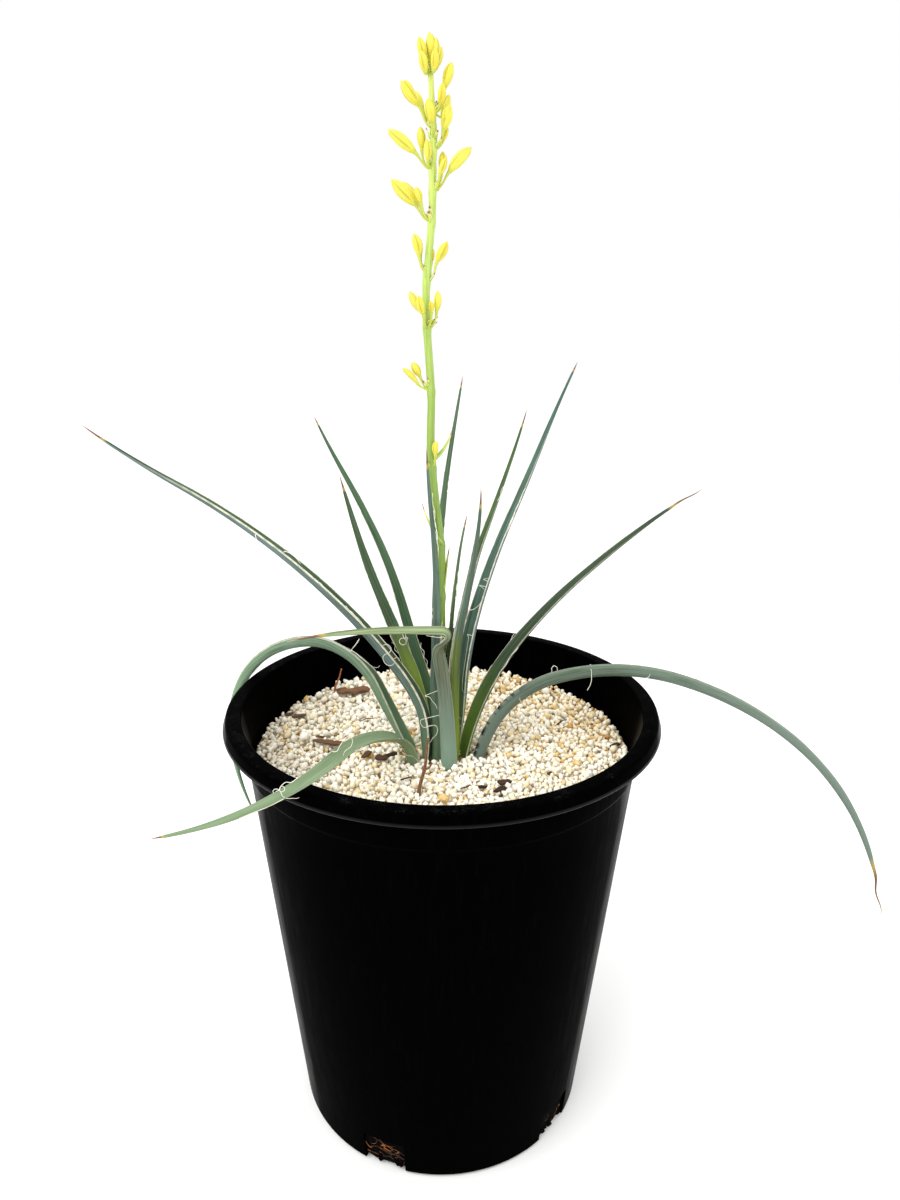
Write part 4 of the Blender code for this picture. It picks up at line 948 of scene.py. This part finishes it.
# pumice: crushed and sieved white stone of 3 to 8 mm, chalky with fine pores, cream to ochre where
# iron has stained it
pumiceLook = {
    "count": 9900, "smallest": 1.9, "largest": 8.4, "common": 3.15, "shapes": 60, "radius": 127.8,
    "bedDrop": 5.0, "packing": 0.78, "tries": 6, "large": 5.4, "largeAt": 2.4, "largeSpread": 0.9,
    "sizeSpread": 0.28, "rough": (0.72, 1.2), "squash": ((1.05, 1.3), (0.9, 1.1), (0.7, 0.98)),
    "bedRows": 24, "bedColumns": 96, "bedFoot": 252.0,
}


# height of the plain top dressing in mm: it rises to the back
def bedHeight(y):
    return pumiceLevel + pumiceRise * y


# where the grains may not lie: circles about each stem and leaf as it passes the surface
def rootCircles():
    rows = []
    for shape in leafShapes.values():
        path, across, inner = leafSpine(shape, np.linspace(0, 0.4, 60))
        near = np.abs(path[:, 2] - bedHeight(path[:, 1])) < 5
        rows += [(x, y, shape["width"][0] * 0.36) for x, y, _ in path[near]]
    stem = stalkCentre(pumiceLevel)
    rows.append((stem[0], stem[1], 3.4))
    return np.array(rows)


# grains are dropped one by one where they come to rest lowest: a grain of radius r over another of
# radius q at a distance d rests at its height + sqrt((p (r + q))^2 - d^2), where p is how closely
# such angular grains pack
def dropGrains():
    look = pumiceLook
    noise = np.random.RandomState(3)
    diameter = look["common"] * np.exp(noise.normal(0, look["sizeSpread"], look["count"]))
    radius = np.clip(diameter, look["smallest"], look["largest"]) / 2
    placed = np.zeros((look["count"], 4))
    blocked = rootCircles()
    for number, r in enumerate(radius):
        reach = (look["radius"] - r) * np.sqrt(noise.uniform(0, 1, look["tries"]))
        turn = noise.uniform(0, 2 * math.pi, look["tries"])
        if r > look["large"] / 2:  # most of the large ones lie at the left rear
            turn = noise.normal(look["largeAt"], look["largeSpread"], look["tries"])
        x, y = reach * np.cos(turn), reach * np.sin(turn)
        apart = np.hypot(x[:, None] - blocked[:, 0], y[:, None] - blocked[:, 1])
        free = (apart > blocked[:, 2] + r * 0.6).all(1)
        if not free.any():  # no free spot: it goes well away from the stems
            x, free = np.clip(x + 60, -80, 80), np.ones(len(x), bool)
        rest = bedHeight(y) - look["bedDrop"] + r * 0.4
        if number:
            others = placed[:number]
            gap = (x[:, None] - others[:, 0]) ** 2 + (y[:, None] - others[:, 1]) ** 2
            touch = (look["packing"] * (r + others[:, 3])) ** 2 - gap
            stacked = np.where(touch > 0, others[:, 2] + np.sqrt(np.maximum(touch, 0)), -1).max(1)
            rest = np.maximum(rest, stacked)
        best = np.argmin(np.where(free, rest - bedHeight(y), 1e6))
        placed[number] = x[best], y[best], rest[best], r
    return placed


# a grain: the 12 points of an icosahedron, (0, -+1, -+1.618) and its turns, pushed in and out at
# random, whose 20 faces join three points 2 apart
def grainShapes():
    noise = np.random.RandomState(9)
    golden = (1 + 5 ** 0.5) / 2
    corners = np.array([np.roll((0, a, b * golden), turn)
                        for turn in range(3) for a in (-1, 1) for b in (-1, 1)])
    apart = np.linalg.norm(corners[:, None] - corners[None], axis=2)
    joins = np.abs(apart - 2) < 0.01
    faces = []
    for a, b in np.argwhere(joins):
        for c in np.nonzero(joins[a] & joins[b])[0]:
            facesOut = np.cross(corners[b] - corners[a], corners[c] - corners[a]) @ corners[a] > 0
            if a < b and a < c and facesOut:
                faces.append((a, b, c))
    unit = corners / np.linalg.norm(corners[0])
    shapes = unit[None] * noise.uniform(*pumiceLook["rough"], (pumiceLook["shapes"], len(corners), 1))
    return shapes, np.array(faces)


# random turns from unit quaternions (a, b, c, d), as the usual 3 by 3 table of their products
def randomTurns(count, noise):
    q = noise.normal(size=(count, 4))
    a, b, c, d = (q / np.linalg.norm(q, axis=1)[:, None]).T
    return np.stack([
        np.stack([1 - 2 * (c * c + d * d), 2 * (b * c - a * d), 2 * (b * d + a * c)], -1),
        np.stack([2 * (b * c + a * d), 1 - 2 * (b * b + d * d), 2 * (c * d - a * b)], -1),
        np.stack([2 * (b * d - a * c), 2 * (c * d + a * b), 1 - 2 * (b * b + c * c)], -1)], 1)


# chalky stone: stain takes it from white over cream to ochre, painted shade darkens it at the left, and pores
# roughen it
def pumiceNodes(add):
    stain, leftShade = [add("Attribute", attribute_name=label, output="Fac") for label in ("stain", "leftShade")]
    place = add("TexCoord", output="Object")
    mottle = add("TexNoise", Scale=380, Detail=4, Roughness=0.6, Vector=place)
    shift = add("MapRange", {0: mottle, 1: 0.3, 2: 0.75, 3: -0.12, 4: 0.16})
    mixed = add("Math", {0: stain, 1: shift}, operation="ADD", use_clamp=True)
    colour = add("ValToRGB", {0: mixed}, ramp=((0, "fffdf4"), (0.4, "fbf3df"), (0.65, "f2e0b6"),
                                               (0.82, "e0bb74"), (1, "bf8a45")))
    # pores of 0.3 to 0.8 mm
    pores = add("TexNoise", Scale=1500, Detail=3, Roughness=0.7, Vector=place)
    return {"Roughness": 0.9, "Specular IOR Level": 0.25,
            "Base Color": add("Mix", {0: leftShade, 6: colour, 7: "a3926c"}),
            "Normal": add("Bump", Strength=0.55, Distance=0.0006, Height=pores)}


grains = dropGrains()


# the highest grain top within reach of a spot, in mm: centre height + 0.8 * radius
def pumiceTop(x, y, reach=1.0):
    gap = np.hypot(grains[:, 0] - x, grains[:, 1] - y)
    near = gap < grains[:, 3] * 0.8 + reach
    return (grains[near, 2] + 0.8 * grains[near, 3]).max() if near.any() else bedHeight(y)


# the grains: point = turned (shape * squash * radius) + centre, and the fines that they lie on
def buildPumice():
    look = pumiceLook
    noise = np.random.RandomState(17)
    shapes, faces = grainShapes()
    count, corners = len(grains), shapes.shape[1]
    pick = noise.randint(0, len(shapes), count)
    squash = [noise.uniform(*limits, count) for limits in look["squash"]]
    local = shapes[pick] * np.stack(squash, -1)[:, None] * grains[:, 3][:, None, None]
    points = np.einsum("nij,nkj->nki", randomTurns(count, noise), local) + grains[:, None, :3]
    allFaces = (np.arange(count)[:, None, None] * corners + faces[None]).reshape(-1, 3)
    # more iron stain at the back right and in a few patches, and painted shade on the grains at the left,
    # where the pot's rim shades them
    x, y = grains[:, 0], grains[:, 1]
    bias = 0.2 * ease(x + y, 20, 140) + 0.08 * np.sin(x / 17 + 1) * np.sin(y / 23)
    stain = np.clip(noise.beta(1.3, 3.2, count) + bias, 0, 1)
    # painted shade: the grains at the left are darkened toward a warm grey
    leftShade = 0.5 * ease(-x, 45, 110) * noise.uniform(0.3, 1, count)
    kept = {"stain": np.repeat(stain, corners), "leftShade": np.repeat(leftShade, corners)}
    makePiece("pumice_grains", [(points.reshape(-1, 3) * mm, [allFaces], kept)],
              makeMaterial("crushedPumice", pumiceNodes), ["pumice"], smooth=False)
    # the fines below: a disc, point = (r cos a, r sin a, bed height - drop), down to a flat foot
    ring = np.linspace(0, 1, look["bedRows"])[1:] * (look["radius"] + 0.2)
    angle = around(look["bedColumns"])
    bedX, bedY = ring[:, None] * np.cos(angle), ring[:, None] * np.sin(angle)
    bedZ = bedHeight(bedY) - look["bedDrop"] + 0.5
    foot = np.stack([bedX[-1], bedY[-1], np.full(len(angle), look["bedFoot"])], -1)
    middles = [(0, 0, bedHeight(0) - look["bedDrop"] + 0.5), (0, 0, look["bedFoot"])]
    points = np.vstack([np.stack([bedX, bedY, bedZ], -1).reshape(-1, 3), foot, middles])
    # the fines' tan-brown is partly their own colour and partly painted shade that shows in the gaps between
    # the grains
    finesAndGapShade = makeMottled("finesAndGapShade", ((0.3, "7a6242"), (0.6, "b59a6c")),
                              {"Roughness": 0.95, "Specular IOR Level": 0.15}, Scale=600, Detail=4)
    skin = (points * mm, skinFaces(look["bedRows"], look["bedColumns"], flipped=True), {})
    makePiece("pumice_bed", [skin], finesAndGapShade)


buildPumice()
print("pumice built")


# debris: pine bark chips, weathered grey-brown and split along the grain, and thin dead twigs
chipLook = {"stations": 20, "sides": 14, "power": 0.4, "raggedness": 0.06}
# x, y, heading, length, width, thickness, tone from 0 dark to 1 light
chipRows = {
    "bark_chip_1": (-69, 73, 12, 26, 9, 3.6, 0.85), "bark_chip_2": (-78, -6, -12, 24, 6, 2.0, 0.55),
    "bark_chip_3": (-104, 34, 35, 11, 5, 1.8, 0.4), "bark_chip_4": (-40, -26, 150, 9, 6, 2.0, 0.25),
    "bark_chip_5": (40, -56, 30, 9, 6, 2.0, 0.1),
}
scrapRows = (
    (-50.5, -23, 65, 11, 5, 1.8, 0.3), (-35, -18, 25, 11, 4, 1.8, 0.0), (26, -59, 20, 6, 3.5, 1.5, 0.0),
    (36.5, -62.5, 25, 10, 5, 1.8, 0.05), (118, -5, 40, 9, 4, 1.6, 0.05), (-84, 6, -20, 9, 2, 1.2, 0.4),
    (-112, 38, 40, 8, 3, 1.4, 0.3), (60, 62, 10, 5, 2, 1.0, 0.3), (-30, 88, 25, 7, 3, 1.4, 0.4),
    (70, -40, 60, 5, 2.5, 1.2, 0.2),
)
# stations and sides of each kind, the twig's station where its shoot starts, and its knot
twigLook = {"twig": (60, 10), "straw": (24, 6), "shoot": (12, 7), "shootAt": 30, "ripple": 0.15,
            "strawRipple": 0.12, "knot": 0.5, "knotAt": 0.52, "knotWidth": 0.05}
# points x, y, height above the pumice, then radius and tone
twigRows = {
    "twig_1": (((-15.5, -61, -8), (-13.5, -61, 4), (-10.2, -60, 16), (-9.2, -59, 26), (-8.4, -58, 35)),
               1.15, 1.15),
    "twig_2": (((-83, 78, -6), (-84, 78, 4), (-80, 78, 12), (-78, 78, 20)), 0.8, 1.9),
}
strawRows = (
    (((-25.7, -53.9), (-21, -49.5), (-15.9, -44.8)), 0.5, 0.3),
    (((81.8, 25.5), (86, 30), (90, 33.8)), 0.5, 0.0),
    (((112.8, 40.7), (116, 45), (119.3, 49.3)), 0.5, 0.0), (((12, -60), (17, -56), (20, -50)), 0.4, 0.4),
    (((-60, 30), (-54, 33), (-49, 31)), 0.35, 0.5), (((40, 40), (46, 44), (50, 52)), 0.35, 0.5),
)


# bark: fibres along the grain, in a dark and a light brown that are mixed by the tone
def barkNodes(add):
    grain = add("Attribute", attribute_name="grain", output="Vector")
    tone = add("Attribute", attribute_name="tone", output="Fac")
    # fibres 0.5 mm wide that run along the chip for 12 mm
    drawn = add("VectorMath", {0: grain, 1: (0.08, 2, 2)}, operation="MULTIPLY")
    fibre = add("TexNoise", Scale=1, Detail=4, Roughness=0.65, Vector=drawn)
    light = add("ValToRGB", {0: fibre}, ramp=((0.3, "4a3324"), (0.5, "7a573c"), (0.72, "a98563")))
    dark = add("ValToRGB", {0: fibre}, ramp=((0.3, "1c120c"), (0.6, "3d281b")))
    rusty = add("MapRange", {0: tone, 1: 1, 2: 2})  # a tone above 1 is rusty
    colour = add("Mix", {0: tone, 6: dark, 7: light})
    return {"Roughness": 0.85, "Specular IOR Level": 0.25,
            "Base Color": add("Mix", {0: rusty, 6: colour, 7: "ad6a38"}),
            "Normal": add("Bump", Strength=0.8, Distance=0.0006, Height=fibre)}


# a chip: a squarish oval carried along its length; width and thickness fall off toward ragged ends
# as (1 - |s|^p)^0.5, and sums of sines make its sides uneven
def chipSkin(x, y, heading, length, width, thickness, tone, z, noise):
    s = np.linspace(-1, 1, chipLook["stations"])
    along, side = outward(heading), outward(heading + 90)
    sway = width * 0.10 * np.sin(s * noise.uniform(1, 3) + noise.uniform(0, 6))
    path = np.array([x, y, z]) + along * (s * length / 2)[:, None] + side * sway[:, None]
    ends = np.maximum(1 - np.abs(s) ** noise.uniform(3, 7), 0.02) ** 0.5
    taper = 1 - noise.uniform(0.1, 0.5) * (s * noise.choice([-1, 1]) + 1) / 2
    angle = around(chipLook["sides"])
    rough = 0.12 * np.sin(angle * 3 + noise.uniform(0, 6))[None]
    rough = 1 + rough * np.sin(s * 6 + noise.uniform(0, 6))[:, None]
    rough = rough + noise.normal(0, chipLook["raggedness"], (len(s), len(angle)))
    size = (ends * taper)[:, None] * rough
    u, v = [np.sign(wave) * np.abs(wave) ** chipLook["power"] * across / 2
            for wave, across in ((np.sin(angle), width), (np.cos(angle), thickness))]
    sections = np.stack([u[None] * size, v[None] * size], -1)
    skin = sweep(path * mm, np.tile(-side, (len(s), 1)), np.tile([0, 0, 1.0], (len(s), 1)), sections * mm)
    grain = [np.repeat(s * length / 2, len(angle)), sections[..., 0].ravel(), sections[..., 1].ravel() + x]
    grain = np.stack(grain, -1)
    return tagged(skin, grain=np.vstack([grain, grain[0], grain[-1]]), tone=tone)


# a twig or straw: a tube whose grain follows its place, in mm, in the order that axes gives
def twigSkin(path, radii, sides, ripple, tone, axes):
    skin = tube(path * mm, radii * mm, sides, ripple)
    return tagged(skin, grain=skin[0][:, axes] / mm, tone=tone)


# chips lie at their node's height, and scraps and straws on the grains under them; a twig's radius
# is radius * (1.15 - 0.6 s + 0.3 * (its knot + small waves))
def buildDebris():
    look = twigLook
    weatheredBark = makeMaterial("weatheredBark", barkNodes)
    noise = np.random.RandomState(31)
    for name, row in chipRows.items():
        low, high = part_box(name)
        z = (low.z + high.z) / 2 / mm
        skins = [chipSkin(*row, z, noise)]
        if name == "bark_chip_1":  # its left end is split in two
            x, y, heading, _, _, thickness, tone = row
            split = (x - 9.5, y + 1.8, heading + 14, 9, 3, thickness * 0.8, tone)
            skins.append(chipSkin(*split, z + 0.2, noise))
        makePiece(name + "_split", skins, weatheredBark, [name])
    scraps = []
    for row in scrapRows:
        x, y, _, length, _, thickness, _ = row
        scraps.append(chipSkin(*row, pumiceTop(x, y, length * 0.25) - thickness * 0.25, noise))
    for corners, radius, tone in strawRows:
        stations, sides = look["straw"]
        path = smoothPath([(x, y, pumiceTop(x, y) + radius * 0.4) for x, y in corners], stations)
        radii = radius * (1 - 0.5 * np.linspace(0, 1, stations) ** 3)
        scraps.append(twigSkin(path, radii, sides, look["strawRipple"], tone, [0, 1, 2]))
    makePiece("bark_scraps", scraps, weatheredBark)
    for name, (corners, radius, tone) in twigRows.items():
        base = bedHeight(corners[0][1])
        stations, sides = look["twig"]
        path = smoothPath([(x, y, base + z) for x, y, z in corners], stations)
        s = np.linspace(0, 1, stations)
        knots = look["knot"] * np.exp(-((s - look["knotAt"]) / look["knotWidth"]) ** 2) + 0.2 * np.sin(s * 40)
        radii = radius * (1.15 - 0.6 * s + 0.3 * knots)
        skins = [twigSkin(path, radii, sides, look["ripple"], tone, [2, 0, 1])]
        if name == "twig_1":  # a broken side shoot at its middle
            stations, sides = look["shoot"]
            foot = path[look["shootAt"]]
            shoot = smoothPath([foot, foot + (3.4, -0.6, 2.2), foot + (5.2, -0.8, 5.5)], stations)
            radii = np.linspace(0.8, 0.45, stations)
            skins.append(twigSkin(shoot, radii, sides, look["ripple"], tone, [2, 0, 1]))
        makePiece(name + "_bark", skins, weatheredBark, [name])


buildDebris()
# the rootstock: a woody core of fibres 2 mm apart that run up it
dress("crown", makeMottled("fibrousRootstock", ((0.3, "4b3a28"), (0.7, "95805c")), {"Roughness": 0.9},
                           stretch=(500, 500, 80), Scale=1, Detail=4))
print("debris built")


# the studio: a pale floor, an even white surround and one broad soft light above the camera's left
studio = {"surround": 1.3, "floor": "f6f6f5", "floorHalf": 6, "key": 26.0, "keySize": 1.6, "fill": 4.0,
          "aim": 0.3}


# the surround is plain white to the camera and lights the scene with its own strength, and each
# light stands at its place and looks at a point on the axis
def buildStudio():
    half = studio["floorHalf"]
    mesh = bpy.data.meshes.new("floor")
    corners = [(x * half, y * half, -0.0005) for x, y in ((-1, -1), (1, -1), (1, 1), (-1, 1))]
    mesh.from_pydata(corners, [], [(0, 1, 2, 3)])
    floor = putObject("floor", mesh)
    mesh.materials.append(makeMaterial("paleStudioFloor", lambda add: {
        "Base Color": studio["floor"], "Roughness": 0.9, "Specular IOR Level": 0.1}))
    world = bpy.data.worlds.new("studio")
    bpy.context.scene.world = world
    world.use_nodes = True
    seen = addNode(world.node_tree, "LightPath", output="Is Camera Ray")
    strength = addNode(world.node_tree, "MapRange", {0: seen, 3: studio["surround"], 4: 1})
    fill(world.node_tree, world.node_tree.nodes["Background"], {"Color": "ffffff", "Strength": strength})
    for name, place in (("key", (-0.9, -0.9, 1.9)), ("fill", (1.3, -0.2, 1.4))):
        lamp = bpy.data.lights.new(name, "AREA")
        lamp.size = studio["keySize"]
        lamp.energy = studio[name]
        aim = (Vector((0, 0, studio["aim"])) - Vector(place)).to_track_quat("-Z", "Y")
        putObject(name, lamp).matrix_world = Matrix.Translation(place) @ aim.to_matrix().to_4x4()


# the camera stands where the photograph was taken, and rolls by 0.29 degrees
camera = {"place": (0.0048, -0.5585, 0.563), "down": 18.385, "lens": 27.0, "roll": 0.29,
          "sensor": 36.0, "nearest": 0.01}


# matrix = place * tilt about x * roll about the line of sight
def buildCamera():
    data = bpy.data.cameras.new("camera")
    data.lens = camera["lens"]
    data.sensor_width = camera["sensor"]
    data.sensor_fit = "AUTO"
    data.clip_start = camera["nearest"]
    item = putObject("camera", data)
    tilt = Matrix.Rotation(math.radians(90 - camera["down"]), 4, "X")
    roll = Matrix.Rotation(math.radians(camera["roll"]), 4, "Z")
    item.matrix_world = Matrix.Translation(camera["place"]) @ tilt @ roll
    bpy.context.scene.camera = item


buildStudio()
buildCamera()
bpy.context.scene.view_settings.view_transform = "Standard"
print("studio built")
